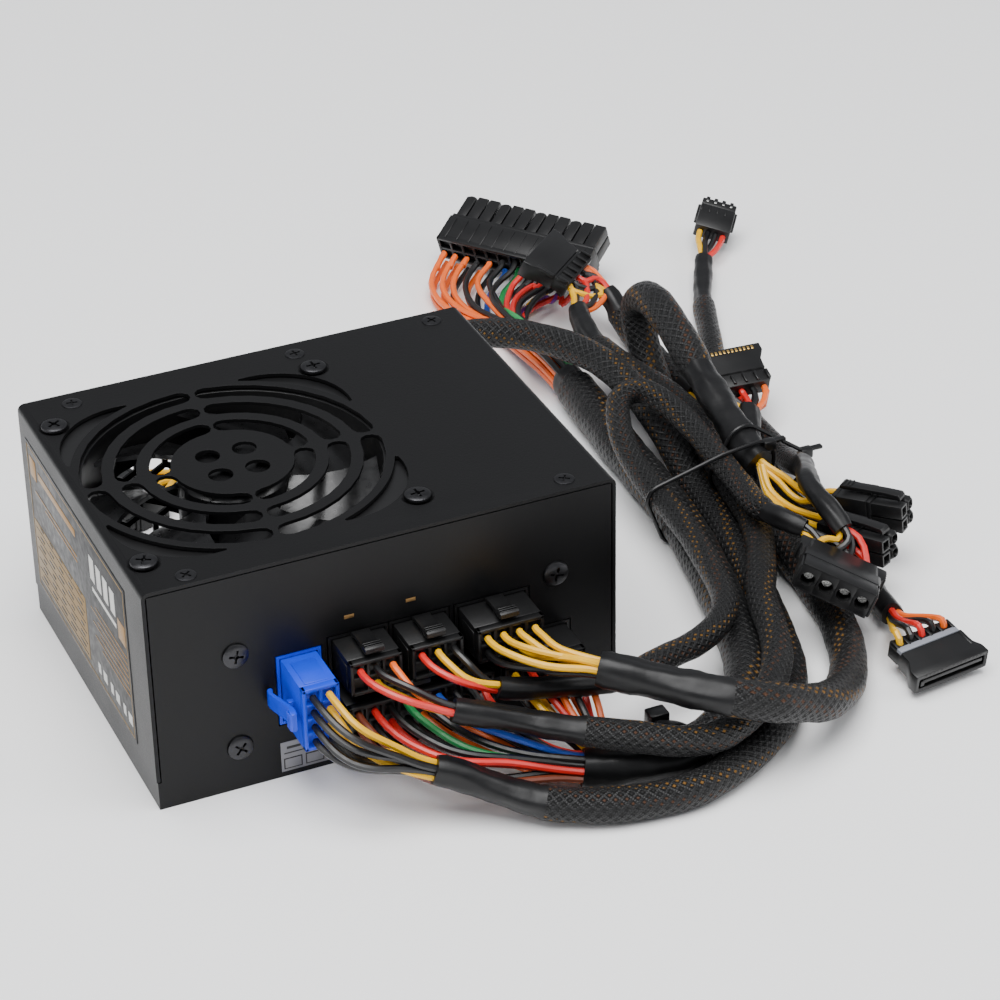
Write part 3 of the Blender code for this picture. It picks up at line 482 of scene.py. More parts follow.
# Wire colours seen through the braid, darkened as painted shade of the sleeve over them.
WIRES_IN_PAINTED_SHADE = ((0.004, 0.004, 0.004), (0.14, 0.065, 0.008), (0.004, 0.004, 0.004),
               (0.004, 0.004, 0.004), (0.05, 0.018, 0.006), (0.004, 0.004, 0.004))
SLEEVE = Braid("braided_sleeve", (0.005, 0.005, 0.0053), 0.37, WIRES_IN_PAINTED_SHADE, 11, 2.7, 0.0)
OPEN_SLEEVE = Braid("open_braided_sleeve", (0.005, 0.005, 0.0053), 0.37, WIRES_IN_PAINTED_SHADE, 12, 2.9,
                    0.3)
BOARD = CircuitBoard("circuit_board", (0.03, 0.13, 0.05), 0.35)
FERRITE = Finish("ferrite", (0.045, 0.045, 0.05), 0.62)
EPOXY = Finish("epoxy", (0.02, 0.02, 0.021), 0.5)
# Insulating film darkened far below its own pale tone, as painted shade inside the casing.
FILM_IN_PAINTED_SHADE = Gloss("insulating_film", (0.1, 0.095, 0.08), 0.3, 0.2)
CAN_SLEEVE = Gloss("capacitor_sleeve", (0.015, 0.03, 0.09), 0.25, 0.4)
TIE_NYLON = Finish("tie_nylon", (0.005, 0.005, 0.0055), 0.3)
LABEL_BLACK = Gloss("label_film", (0.004, 0.004, 0.0045), 0.42, 0.05)
LABEL_GOLD = Finish("label_gold", (0.24, 0.15, 0.05), 0.45)
LABEL_WHITE = Finish("label_white", (0.6, 0.6, 0.58), 0.5)
LABEL_GREY = Finish("label_grey", (0.2, 0.2, 0.21), 0.5)
BRONZE = Metal("bronze_print", (0.34, 0.2, 0.08), 0.4)


# ---------------------------------------------------------------- meshes

def outline(wide: float, high: float, corner: float, steps: int = 3) -> list[tuple]:
    """A rectangle with round corners.

    Args:
        wide: full width.
        high: full height.
        corner: corner radius.
        steps: points at each corner.

    Returns:
        The points, counter-clockwise.
    """
    corner = max(0.01, min(corner, wide / 2 - 0.005, high / 2 - 0.005))
    points = []
    for number, (sx, sz) in enumerate(((1, 1), (-1, 1), (-1, -1), (1, -1))):
        for step in range(steps):
            angle = math.pi / 2 * (number + step / max(1, steps - 1))
            points.append((sx * (wide / 2 - corner) + corner * math.cos(angle),
                           sz * (high / 2 - corner) + corner * math.sin(angle)))
    return points


class Shape:
    """A mesh under construction, in millimetres, in a local frame whose main axis is Y."""

    def __init__(self, place: Matrix | None = None) -> None:
        """Start an empty mesh whose local frame stands at place.

        Args:
            place: the local frame, in millimetres.
        """
        self.place = place or Matrix.Identity(4)
        self.bm = bmesh.new()
        self.uv = self.bm.loops.layers.uv.new("along")

    def skin(self, rings: list[list[Vector]], slot: int | list[int] = 0,
             marks: list[float] | None = None) -> None:
        """Add a closed skin through rings of points, capped at both ends.

        Args:
            rings: rings with equally many points, in the local frame.
            slot: the material slot of all of it, or of each stretch between rings.
            marks: each ring's distance along the piece, for its texture.
        """
        rows = [[self.bm.verts.new(self.place @ Vector(point)) for point in ring]
                for ring in rings]
        count = len(rings[0])
        for i, (low, high) in enumerate(zip(rows, rows[1:])):
            for j in range(count):
                k = (j + 1) % count
                face = self.bm.faces.new((low[j], low[k], high[k], high[j]))
                face.material_index = slot if isinstance(slot, int) else slot[i]
                if marks:
                    corners = ((i, j), (i, j + 1), (i + 1, j + 1), (i + 1, j))
                    for loop, (ring, step) in zip(face.loops, corners):
                        loop[self.uv].uv = (marks[ring] * MM, step / count)
        for cap, index in ((rows[0][::-1], 0), (rows[-1], -1)):
            face = self.bm.faces.new(cap)
            face.material_index = slot if isinstance(slot, int) else slot[index]

    def loft(self, sections: list[tuple], corner: float = 0.25, slot: int = 0,
             centre: Point = (0, 0, 0)) -> None:
        """Add a skin through upright rounded rectangles.

        Args:
            sections: (y, width, height) of each rectangle, or with x and z shifts after them.
            corner: corner radius.
            slot: material slot.
            centre: where the sections' own zero is.
        """
        rings = []
        for y, wide, high, *shift in sections:
            dx, dz = shift or (0, 0)
            rings.append([Vector((centre[0] + dx + x, centre[1] + y, centre[2] + dz + z))
                          for x, z in outline(wide, high, corner)])
        self.skin(rings, slot)

    def block(self, size: Point, centre: Point = (0, 0, 0), edge: float = 0.25,
              slot: int = 0) -> None:
        """Add a block with rounded edges.

        Args:
            size: full size.
            centre: its middle.
            edge: radius of the rounding.
            slot: material slot.
        """
        x, y, z = size
        half = y / 2
        ends = [(-half, 2 * edge), (-half + 0.3 * edge, 0.6 * edge), (-half + edge, 0)]
        sections = [(at, x - inset, z - inset) for at, inset in ends]
        sections += [(-at, wide, high) for at, wide, high in reversed(sections)]
        self.loft(sections, edge, slot, centre)

    def well(self, size: Point, mouth: Pair, depth: float,
             centre: Point = (0, 0, 0), edge: float = 0.25, slot: int = 0) -> None:
        """Add a block with a hollow that opens at its +Y end.

        Args:
            size: full size.
            mouth: the hollow's width and height.
            depth: the hollow's depth.
            centre: the block's middle.
            edge: radius of the outer rounding.
            slot: material slot.
        """
        x, y, z = size
        half, (wide, high) = y / 2, mouth
        self.loft([(-half, x - 2 * edge, z - 2 * edge), (-half + edge, x, z),
                   (half - edge, x, z), (half, x - 1.2 * edge, z - 1.2 * edge),
                   (half, wide + 0.15, high + 0.15), (half - 0.15, wide, high),
                   (half - depth, wide, high)], edge, slot, centre)

    def tile(self, size: Pair, radius: float, reach: Pair,
             centre: Point = (0, 0, 0), slot: int = 0) -> None:
        """Add a rectangular tile with a round hole that opens at its +Y end.

        Args:
            size: the tile's width and height.
            radius: the hole's radius.
            reach: where the tile starts and ends along Y.
            centre: the tile's middle.
            slot: material slot.
        """
        back, front = reach
        rings = []
        for y, scale in ((back, 0.0), (front, 0.0), (front + 0.3, radius + 0.35),
                         (front + 0.3, radius), (back + 0.4, radius)):
            ring = []
            for x, z in circle(16):
                flat = 1 / max(abs(x), abs(z))
                wide, high = (scale, scale) if scale else (flat * size[0] / 2, flat * size[1] / 2)
                ring.append(Vector((centre[0] + x * wide, centre[1] + y, centre[2] + z * high)))
            rings.append(ring)
        self.skin(rings, slot)

    def turned(self, profile: list[Pair], centre: Point = (0, 0, 0), sides: int = 16,
               slot: int = 0) -> None:
        """Add a shape turned about Y.

        Args:
            profile: (y, radius) of each ring.
            centre: where the profile's zero is.
            sides: points round it.
            slot: material slot.
        """
        self.skin([[Vector((radius * x, y, radius * z)) + Vector(centre)
                    for x, z in circle(sides)] for y, radius in profile], slot)

    def piece(self, name: str, finishes: list[Finish], body: str = CASING,
              stands_for: tuple[str, ...] = (), slot: str | None = None) -> bpy.types.Object:
        """Finish the mesh as a piece of the object.

        Args:
            name: the piece's name.
            finishes: one for each material slot.
            body: the body that it rides on.
            stands_for: the solids that it replaces.
            slot: the record's material slot that it belongs to; not used.

        Returns:
            The piece.
        """
        bmesh.ops.recalc_face_normals(self.bm, faces=self.bm.faces)
        bmesh.ops.scale(self.bm, vec=(MM, MM, MM), verts=self.bm.verts)
        mesh = bpy.data.meshes.new(name)
        self.bm.to_mesh(mesh)
        self.bm.free()
        return settle(name, mesh, finishes, body, stands_for)


def settle(name: str, mesh: bpy.types.Mesh, finishes: list[Finish], body: str = CASING,
           stands_for: tuple[str, ...] = (),
           crease: float = 38.0) -> bpy.types.Object:
    """Put a mesh in the scene as a piece of the object.

    Args:
        name: the piece's name.
        mesh: its mesh, in metres in the object's frame.
        finishes: one for each material slot.
        body: the body that it rides on.
        stands_for: the solids that it replaces.
        crease: edges sharper than this many degrees stay sharp.

    Returns:
        The piece.
    """
    mesh.shade_smooth()
    mesh.set_sharp_from_angle(angle=math.radians(crease))
    for finish in finishes:
        mesh.materials.append(finish.material())
    piece = bpy.data.objects.new(name, mesh)
    bpy.context.scene.collection.objects.link(piece)
    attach(piece, body)
    if stands_for:
        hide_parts(*stands_for)
    log.info("%s: %d faces on %s", name, len(mesh.polygons), body)
    return piece


def refined(node: str, finish: Finish, edge: float,
            body: str = CASING) -> bpy.types.Object:
    """A solid of the frame with its edges rounded as the real piece's are.

    Args:
        node: the solid's name.
        finish: its finish.
        edge: radius of the rounding, in millimetres.
        body: the body that it rides on.

    Returns:
        The piece that stands for it.
    """
    bm = bmesh.new()
    bm.from_mesh(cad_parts[node].data)
    bmesh.ops.remove_doubles(bm, verts=bm.verts, dist=2e-6)
    bmesh.ops.dissolve_limit(bm, angle_limit=math.radians(0.6), verts=bm.verts,
                             edges=bm.edges)
    mesh = bpy.data.meshes.new(node + "_shell")
    bm.to_mesh(mesh)
    bm.free()
    piece = settle(node + "_shell", mesh, [finish], body, (node,))
    rounding = piece.modifiers.new("rounding", "BEVEL")
    rounding.width = edge * MM
    rounding.segments = 2
    rounding.limit_method = "ANGLE"
    rounding.angle_limit = math.radians(40)
    rounding.harden_normals = True
    return piece


class Route:
    """A smooth line through given points, in millimetres, walked by its length."""

    def __init__(self, points: tuple[Point, ...], steps: int = 8) -> None:
        """Smooth the line through the points.

        Args:
            points: the points to pass.
            steps: places to each stretch between points.
        """
        places = [Vector(points[0])]
        for point in points[1:]:
            if (Vector(point) - places[-1]).length > 0.01:
                places.append(Vector(point))
        line = [2 * places[0] - places[1]] + places + [2 * places[-1] - places[-2]]
        self.line = [self.between(line[i - 1:i + 3], step / steps)
                     for i in range(1, len(line) - 2) for step in range(steps)]
        self.line.append(places[-1])
        self.marks = [0.0]
        for first, second in zip(self.line, self.line[1:]):
            self.marks.append(self.marks[-1] + (second - first).length)

    @staticmethod
    def between(four: list[Vector], share: float) -> Vector:
        """A point of the centripetal Catmull-Rom curve between the middle two of four.

        Args:
            four: the four points.
            share: how far along the middle stretch.

        Returns:
            The point.
        """
        knots = [0.0]
        for first, second in zip(four, four[1:]):
            knots.append(knots[-1] + math.sqrt((second - first).length))
        at = knots[1] + (knots[2] - knots[1]) * share
        level = list(four)
        for order in (1, 2):
            level = [level[i].lerp(level[i + 1], (at - knots[i]) / (knots[i + order] - knots[i]))
                     for i in range(4 - order)]
        return level[0].lerp(level[1], (at - knots[1]) / (knots[2] - knots[1]))

    @property
    def length(self) -> float:
        """The line's length."""
        return self.marks[-1]

    def at(self, distance: float) -> Vector:
        """The place at a distance along the line.

        Args:
            distance: the distance from its start.

        Returns:
            The place.
        """
        distance = min(max(distance, 0.0), self.length)
        for i in range(1, len(self.marks)):
            if self.marks[i] >= distance:
                span = self.marks[i] - self.marks[i - 1]
                return self.line[i - 1].lerp(self.line[i], (distance - self.marks[i - 1]) / span)
        return self.line[-1]

    def part(self, start: float, end: float, step: float = 2.5) -> list[Vector]:
        """Places along a stretch of the line, evenly spaced."""
        count = max(2, round(abs(end - start) / step))
        return [self.at(start + (end - start) * i / count) for i in range(count + 1)]


def frames_along(points: list[Vector], side: Vector | None = None) -> list[tuple]:
    """A (side, up) pair at each point that turns with the line and doesn't twist.

    Args:
        points: the line.
        side: the first point's side direction, roughly.

    Returns:
        The pairs.
    """
    pairs = []
    side = side or Vector((0, 0, 1)).cross(points[1] - points[0])
    if side.length < 0.01:
        side = Vector((1, 0, 0))
    for i in range(len(points)):
        heading = (points[min(i + 1, len(points) - 1)] - points[max(i - 1, 0)]).normalized()
        side = (side - heading * side.dot(heading)).normalized()
        pairs.append((side.copy(), side.cross(heading)))
    return pairs


def add_tube(shape: Shape, points: list[Vector], radii: list[float], sides: int,
             slot: int | list[int] = 0, marks: list[float] | None = None,
             ridges: list[float] | None = None) -> None:
    """Add a tube that stays above the table.

    Args:
        shape: the mesh that takes it.
        points: its centre line.
        radii: its radius at each point.
        sides: points round it.
        slot: material slot, or one for each stretch.
        marks: the distance of each point, for its texture.
        ridges: how far the wires inside stand out at each point, as a share of the radius.
    """
    rings = []
    for number, (point, radius, (side, up)) in enumerate(
            zip(points, radii, frames_along(points))):
        ring = []
        for step in range(sides):
            angle = 2 * math.pi * step / sides
            swell = 1 + (ridges[number] if ridges else 0.0) * (
                math.cos(3 * angle + number * 0.23) + 0.6 * math.cos(5 * angle - number * 0.4))
            place = point + (side * math.cos(angle) + up * math.sin(angle)) * radius * swell
            place.z = max(place.z, CLEAR)
            ring.append(place)
        rings.append(ring)
    shape.skin(rings, slot, marks)


# ---------------------------------------------------------------- wires

@dataclass
class Loom:
    """The bare wires that fan out between a connector's pockets and a lead's end.

    Attributes:
        name: the piece's name.
        layout: the wire colours, row by row from the top, with a full stop for an empty pocket.
        place: the connector's wire face, in millimetres, as a local frame.
        pitch: distance between pockets, across and up.
        path: the middle line from the wire face to the bundle.
        loose: how far the wires bow out on the way.
        gathered: the share of the way that they take to come together.
    """

    name: str
    layout: str
    place: Matrix
    pitch: Pair
    path: list[Vector]
    loose: float = 1.0
    gathered: float = 0.88

    def pockets(self) -> list[tuple[float, float, str]]:
        """Each used pocket's place across and up, and its wire's letter.

        Returns:
            The pockets.
        """
        rows = self.layout.split("/")
        return [((column - (len(row) - 1) / 2) * self.pitch[0],
                 ((len(rows) - 1) / 2 - number) * self.pitch[1], letter)
                for number, row in enumerate(rows) for column, letter in enumerate(row)
                if letter != "."]

    @staticmethod
    def bundle(count: int) -> list[Pair]:
        """Where the wires lie in a round bundle, on a sunflower's spiral.

        Args:
            count: how many there are.

        Returns:
            Their places across and up.
        """
        packing, turn = 0.72, 2.4
        reach = WIRE_RADIUS * math.sqrt(count / packing) - WIRE_RADIUS
        return [(reach * math.sqrt((i + 0.5) / count) * math.cos(turn * i),
                 reach * math.sqrt((i + 0.5) / count) * math.sin(turn * i))
                for i in range(count)]

    def build(self, stands_for: tuple[str, ...] = ()) -> bpy.types.Object:
        """Make the wires as one piece.

        Args:
            stands_for: the solids that they replace.

        Returns:
            The piece.
        """
        shape, dice = Shape(), random.Random(len(self.name) * 7 + len(self.layout))
        spots = self.bundle(len(self.pockets()))
        side = self.place.to_3x3() @ Vector((1, 0, 0))
        pairs = frames_along(self.path, side)
        flip = 1 if pairs[0][1].dot(self.place.to_3x3() @ Vector((0, 0, 1))) > 0 else -1
        for x, z, letter in sorted(self.pockets(), key=lambda p: -math.hypot(p[0], p[1])):
            spot = min(spots, key=lambda s: math.hypot(s[0] - 0.35 * x, s[1] - 0.35 * flip * z))
            spots.remove(spot)
            line = self.wire(x, flip * z, spot, pairs, dice)
            add_tube(shape, line, [WIRE_RADIUS] * len(line), 8, WIRE_SLOTS[letter])
        return shape.piece(self.name, WIRE_FINISHES, stands_for=stands_for, slot="sleeving")

    def wire(self, x: float, z: float, spot: Pair, pairs: list[tuple],
             dice: random.Random) -> list[Vector]:
        """The line of one wire.

        Args:
            x: its pocket's place across.
            z: its pocket's place up.
            spot: its place in the bundle.
            pairs: the side and up directions along the path.
            dice: the source of its small wanderings.

        Returns:
            Its points.
        """
        phase, bow, line = dice.uniform(0, 6.28), dice.uniform(0.3, 1.0) * self.loose, []
        for number, (point, (side, up)) in enumerate(zip(self.path, pairs)):
            share = number / (len(self.path) - 1)
            gather = min(1.0, max(0.0, (share - 0.04) / self.gathered))
            gather = gather * gather * (3 - 2 * gather)
            wave = bow * math.sin(math.pi * gather) * math.cos(phase + 2.2 * share)
            rise = bow * math.sin(math.pi * gather) * math.sin(phase + 2.2 * share)
            across = x + (spot[0] - x) * gather + wave
            high = z + (spot[1] - z) * gather + rise
            place = point + side * across + up * high
            place.z = max(place.z, WIRE_RADIUS + CLEAR)
            line.append(place)
        return line


# ---------------------------------------------------------------- connectors

class Housing(Shape):
    """What connectors share: a place, their outside and a pocketed wire face."""

    def __init__(self, place: Matrix, columns: int = 1) -> None:
        """Start a housing of two rows of cells, whose middle stands at place.

        Args:
            place: the local frame.
            columns: cells across.
        """
        super().__init__(place)
        self.columns = columns
        self.wide, self.high = columns * CELL + WALL, 2 * CELL + WALL

    def wire_end(self, y: float, depth: float = 1.6) -> None:
        """Add the pocketed face where the wires go in.

        Args:
            y: the face's place.
            depth: how deep the pockets look.
        """
        middle, wide, high = y + depth / 2, self.wide, self.high
        for side in (-1, 1):
            self.block((1.0, depth, high), (side * (wide / 2 - 0.5), middle, 0), 0.2)
            self.block((wide, depth, 1.0), (0, middle, side * (high / 2 - 0.5)), 0.2)
        for x in spaced(self.columns - 1, CELL):
            self.block((0.9, depth, high - 0.6), (x, middle + 0.15, 0), 0.15)
        self.block((wide - 0.6, depth, 0.9), (0, middle + 0.15, 0), 0.15)

    def grip(self, width: float, first: float, step: float, z: float, size: Pair,
             edge: float) -> None:
        """Add the three finger ribs of a latch.

        Args:
            width: their width.
            first: the first rib's place along Y.
            step: the distance between them.
            z: their height over the housing's middle.
            size: a rib's depth and height.
            edge: radius of their rounding.
        """
        for number in range(3):
            self.block((width, *size), (0, first + number * step, z), edge)

    def connector(self, name: str, *others: Finish) -> bpy.types.Object:
        """Finish a free black connector as the piece that stands for a solid."""
        return self.piece(name + "_housing", [BLACK_NYLON, *others], stands_for=(name,),
                          slot="black_plastic")


@dataclass
class TerminalBlock:
    """A two-row connector of square sleeves, as on the board and processor leads.

    Attributes:
        name: the solid that it stands for.
        columns: terminals across.
        latch: whether it carries a thumb latch.
        length: its length from the wire face to the mating end.
    """

    name: str
    columns: int
    latch: bool = True
    length: float = -2 * BLOCK_BACK

    def build(self) -> bpy.types.Object:
        """Make the connector.

        Returns:
            The piece.
        """
        shape, half = Housing(connector_place(self.name), self.columns), self.length / 2
        shape.wire_end(-half)
        shape.block((shape.wide, half - 1.4, shape.high), (0, 0.8 - half / 2, 0), 0.3)
        shape.block((shape.wide - 0.8, 1.6, shape.high - 0.7), (0, 0.5, 0), 0.2)
        for column, x in enumerate(spaced(self.columns, CELL)):
            for z in spaced(2, CELL):
                shape.well((3.75, half - 0.4, 3.75), (2.35, 2.35), 6.5, (x, half / 2 + 0.2, z),
                           0.22 if column % 3 else 0.85)
        if self.latch:
            self.add_latch(shape, shape.high / 2)
        else:
            for x in spaced(self.columns, CELL):
                shape.block((0.35, 8.4, 0.3), (x, -5.0, shape.high / 2), 0.1)
        return shape.connector(self.name)

    def add_latch(self, shape: Housing, top: float) -> None:
        """Add the thumb latch along the top.

        Args:
            shape: the housing under way.
            top: the top face's height.
        """
        width = 5.2 if self.columns > 4 else 3.8
        shape.loft([(-8.6, width, 1.0, 0, 1.5), (-7.4, width, 1.3, 0, 1.45),
                    (-3, width - 0.6, 1.1, 0, 1.3), (4, width - 0.6, 1.1, 0, 1.2),
                    (7.6, width - 0.4, 1.2, 0, 0.9), (8.4, width - 0.4, 1.9, 0, 0.5),
                    (9.0, width - 0.4, 0.8, 0, 0.3)], 0.25, 0, (0, 0, top))
        shape.block((width - 0.8, 2.4, 1.6), (0, -1.5, top + 0.5), 0.25)
        shape.grip(width - 0.6, -7.9, 1.1, top + 2.1, (0.5, 0.5), 0.2)


@dataclass
class DriveConnector:
    """A flat serial drive power connector, flared towards its mating slot.

    Attributes:
        name: the solid that it stands for.
        strip: whether it has a grey cap over its wires.
        contacts: whether its contacts show along the mating edge.
    """

    name: str
    strip: bool = False
    contacts: bool = False

    def build(self) -> bpy.types.Object:
        """Make the connector.

        Returns:
            The piece.
        """
        shape = Housing(connector_place(self.name))
        shape.loft([(DRIVE_BACK, 17.6, 4.6), (-7.4, 18.2, 5.0), (-3.6, 18.4, 5.0), (-3.3, 18.4, 4.4),
                    (-2.7, 18.4, 4.4), (-2.4, 18.8, 5.4), (1.4, 19.4, 5.6), (4.8, 23.2, 5.6),
                    (7.4, 23.4, 5.6), (7.7, 23.1, 5.3), (7.7, 21.5, 3.3), (7.55, 21.2, 3.0),
                    (3.2, 21.0, 3.0)], 0.3)
        shape.block((19.2, 5.0, 1.1), (-0.3, 5.1, 0.35), 0.12)
        shape.block((1.2, 5.0, 1.7), (9.4, 5.1, -0.2), 0.12)
        for x in spaced(15, 1.27):
            shape.block((0.62, 2.8, 0.16), (x - 0.3, 4.6, -0.3), 0.04, 2)
            shape.block((0.5, 0.2, 0.5), (x - 0.3, 7.66, 2.25), 0.05)
        if self.strip:
            shape.block((19.0, 1.9, 1.2), (0, -3.0, 2.5), 0.15, 1)
        if self.contacts:
            for x in spaced(15, 1.27):
                shape.block((0.7, 1.4, 0.3), (x, 6.2, 2.85), 0.08, 2)
        for x in spaced(6, 3.6):
            shape.block((0.9, 3.6, 1.6), (x, -5.4, 2.4), 0.2)
        shape.block((1.3, 6.0, 1.2), (-9.6, 0.6, 2.3), 0.3)
        return shape.connector(self.name, GREY_TONGUE, GOLD_CONTACT)


@dataclass
class PeripheralConnector:
    """A four way connector with round sockets, chamfered keys and finger grips."""

    name: str

    def build(self) -> bpy.types.Object:
        """Make the connector.

        Returns:
            The piece.
        """
        shape = Housing(connector_place(self.name))
        shape.loft([(PERIPHERAL_BACK, 19.0, 5.0), (-9.1, 19.6, 5.6), (-2.6, 20.4, 6.4),
                    (-1.4, 21.6, 7.7), (3.4, 21.8, 7.8)], 1.0)
        for side in (-1, 1):
            shape.loft([(-9.3, 2.6, 4.2), (-8.9, 3.6, 5.2), (-4.8, 3.6, 5.4), (-3.4, 2.0, 4.6),
                        (0.2, 0.8, 4.0)], 0.5, 0, (side * 10.4, 0, 0))
            for number in range(4):
                shape.block((0.7, 0.6, 4.6), (side * 12.0, -8.4 + number * 1.3, 0), 0.2)
            shape.block((0.9, 6.0, 6.6), (side * 10.5, 6.4, 0), 0.4)
            shape.block((20.4, 6.1, 0.5), (0, 6.35, side * 3.6), 0.22)
        for x in spaced(4, 5.08):
            shape.tile((5.1, 6.9), 1.95, (3.0, 9.3), (x, 0, 0))
            shape.turned([(6.4, 1.35), (6.7, 1.3), (6.7, 0.95), (4.2, 0.95)], (x, 0, 0), 14, 1)
        return shape.connector(self.name, STEEL)


@dataclass
class FloppyConnector:
    """A small four way connector with open terminal windows."""

    name: str

    def build(self) -> bpy.types.Object:
        """Make the connector.

        Returns:
            The piece.
        """
        shape = Housing(connector_place(self.name))
        shape.block((11.4, 10.2, 5.2), (0, -1.9, 0), 0.35)
        shape.block((11.2, 2.9, 4.8), (0, 4.6, 0), 0.3)
        for x in spaced(4, 2.6):
            for z in (-1.5, 1.5):
                shape.block((1.2, 1.6, 1.3), (x, 6.4, z), 0.2)
            shape.block((0.8, 0.8, 0.2), (x, 4.9, 2.4), 0.08, 1)
            shape.block((0.5, 3.0, 0.3), (x - 1.2, 1.4, 2.6), 0.1)
        for side in (-1, 1):
            shape.block((1.2, 7.6, 1.6), (side * 5.9, 1.6, -1.2), 0.3)
        return shape.connector(self.name, STEEL)


CONNECTORS = {
    "main_connector": ((135, 168, 12), (-53, 22, 0)),
    "drive_connector_1": ((131, 135, 20.5), (42, 24, 0)),
    "drive_connector_2": ((153, 61, 14.5), (-4, 14, 0)),
    "drive_connector_3": ((139.5, -80, 6), (188, -8, 0)),
    "floppy_connector": ((199, 161, 9), (-38, 16, 14)),
    "peripheral_connector": ((124.2, -55.4, 20.4), (145.5, 7, -21.5)),
    "cpu_connector_1": ((152.5, -24, 15.8), (217, 6, 0)),
    "cpu_connector_2": ((142, -35, 14.8), (207, 6, 0)),
    "graphics_connector": ((-28, 82.8, 5.2), (111.7, 0, 0)),
}


def connector_place(name: str) -> Matrix:
    """The local frame of a connector, whose +Y end mates, in millimetres.

    Args:
        name: the solid's name.

    Returns:
        The frame.
    """
    centre, (yaw, pitch, roll) = CONNECTORS[name]
    return (Matrix.Translation(centre) @ Matrix.Rotation(math.radians(yaw), 4, "Z")
            @ Matrix.Rotation(math.radians(pitch), 4, "X")
            @ Matrix.Rotation(math.radians(roll), 4, "Y"))


@dataclass
class PanelPlug:
    """A modular plug in the connector panel, with its thumb latch.

    Attributes:
        name: the first word of its solids' names.
        columns: terminals along its longer side.
        centre: its middle on the panel, X and Z.
        out: how far it stands out of the panel.
        layout: the colours of its wires, row by row from the latch's side.
        upright: whether it stands on end, with the latch on the left.
        finish: its plastic.
        inside: how far it reaches behind the panel's face.
        panel: where the panel's face stands.
        flare: how far the latch's inner end stands off.
    """

    name: str
    columns: int
    centre: Pair
    out: float
    layout: str
    upright: bool = False
    finish: Finish = BLACK_NYLON
    inside: float = 11.0
    panel: float = -50.0
    flare: float = 0.0

    @property
    def place(self) -> Matrix:
        """The plug's local frame, on the panel's face.

        Returns:
            The frame.
        """
        x, z = self.centre
        turn = Matrix.Rotation(-math.pi / 2 if self.upright else 0.0, 4, "Y")
        return Matrix.Translation((x, self.panel, z)) @ turn

    @property
    def face(self) -> Matrix:
        """The local frame of the wire face."""
        return self.place @ Matrix.Translation((0, -self.out, 0))

    def build(self) -> None:
        """Make the plug and its latch."""
        slot = "blue_plastic" if self.finish is BLUE_NYLON else "black_plastic"
        shape = Housing(self.place, self.columns)
        wide, high, back = shape.wide, shape.high, -self.out + 2.1
        shape.wire_end(-self.out, 2.2)
        shape.block((wide, self.inside - back, high), (0, (self.inside + back) / 2, 0), 0.3)
        shape.block((wide - 0.7, 0.8, high - 0.7), (0, back - 0.1, 0), 0.15)
        for side in (-1, 1):
            shape.block((0.5, self.out - 5, high - 3.2), (side * wide / 2, -self.out / 2, 0), 0.2)
        shape.piece(self.name + "_housing", [self.finish], CASING, (self.name + "_plug",), slot)
        self.build_latch(high / 2, slot)

    def build_latch(self, top: float, slot: str) -> None:
        """Make the latch.

        Args:
            top: the height of the face that it stands on.
            slot: the record's material slot.
        """
        shape, rise = Housing(self.place), 1.0
        outer, inner = 0.6 - self.out, -1.0
        middle, base = (outer + inner) / 2, top + rise
        shape.loft([(outer, 5.0, 1.2, 0, 1.15), (outer + 0.5, 5.3, 1.8, 0, 1.2),
                    (outer + 2.4, 5.3, 1.6, 0, 1.0), (outer + 3.6, 4.7, 1.15, 0, 0.6),
                    (middle, 4.6, 1.3, 0, 0.65 + self.flare * 0.4),
                    (inner - 2.0, 4.6, 1.1, 0, 0.6 + self.flare),
                    (inner - 0.5, 4.8, 1.5, 0, 0.35 + self.flare),
                    (inner, 4.6, 1.1, 0, 0.25 + self.flare)],
                   0.3, 0, (0, 0, base))
        shape.block((4.2, 1.6, rise + 0.5), (0, middle, top + rise / 2 + 0.2), 0.2)
        shape.grip(4.8, outer + 0.7, 0.85, base + 2.1, (0.45, 0.4), 0.15)
        node = self.name + "_plug_latch"
        shape.piece(self.name + "_latch", [self.finish], node, (node,), slot)


# ---------------------------------------------------------------- leads

@dataclass
class End:
    """One end of a lead: bare wires from a connector, then heat shrink.

    Attributes:
        bare: length of the bare wires.
        shrink: length of the heat shrink after them.
        layout: the colours of the wires, row by row.
        place: the connector's wire face.
        pitch: distance between pockets, across and up.
        parts: the solids and pieces that hang on this end.
        loose: how far the wires bow out.
        out: the way that the wires leave the face, in the connector's own frame.
        gathered: the share of the way that the wires take to come together.
    """

    bare: float
    shrink: float
    layout: str
    place: Matrix | None = None
    pitch: Pair = (CELL, CELL)
    parts: tuple[str, ...] = ()
    loose: float = 1.0
    out: Point = (0, -1, 0)
    gathered: float = 0.88


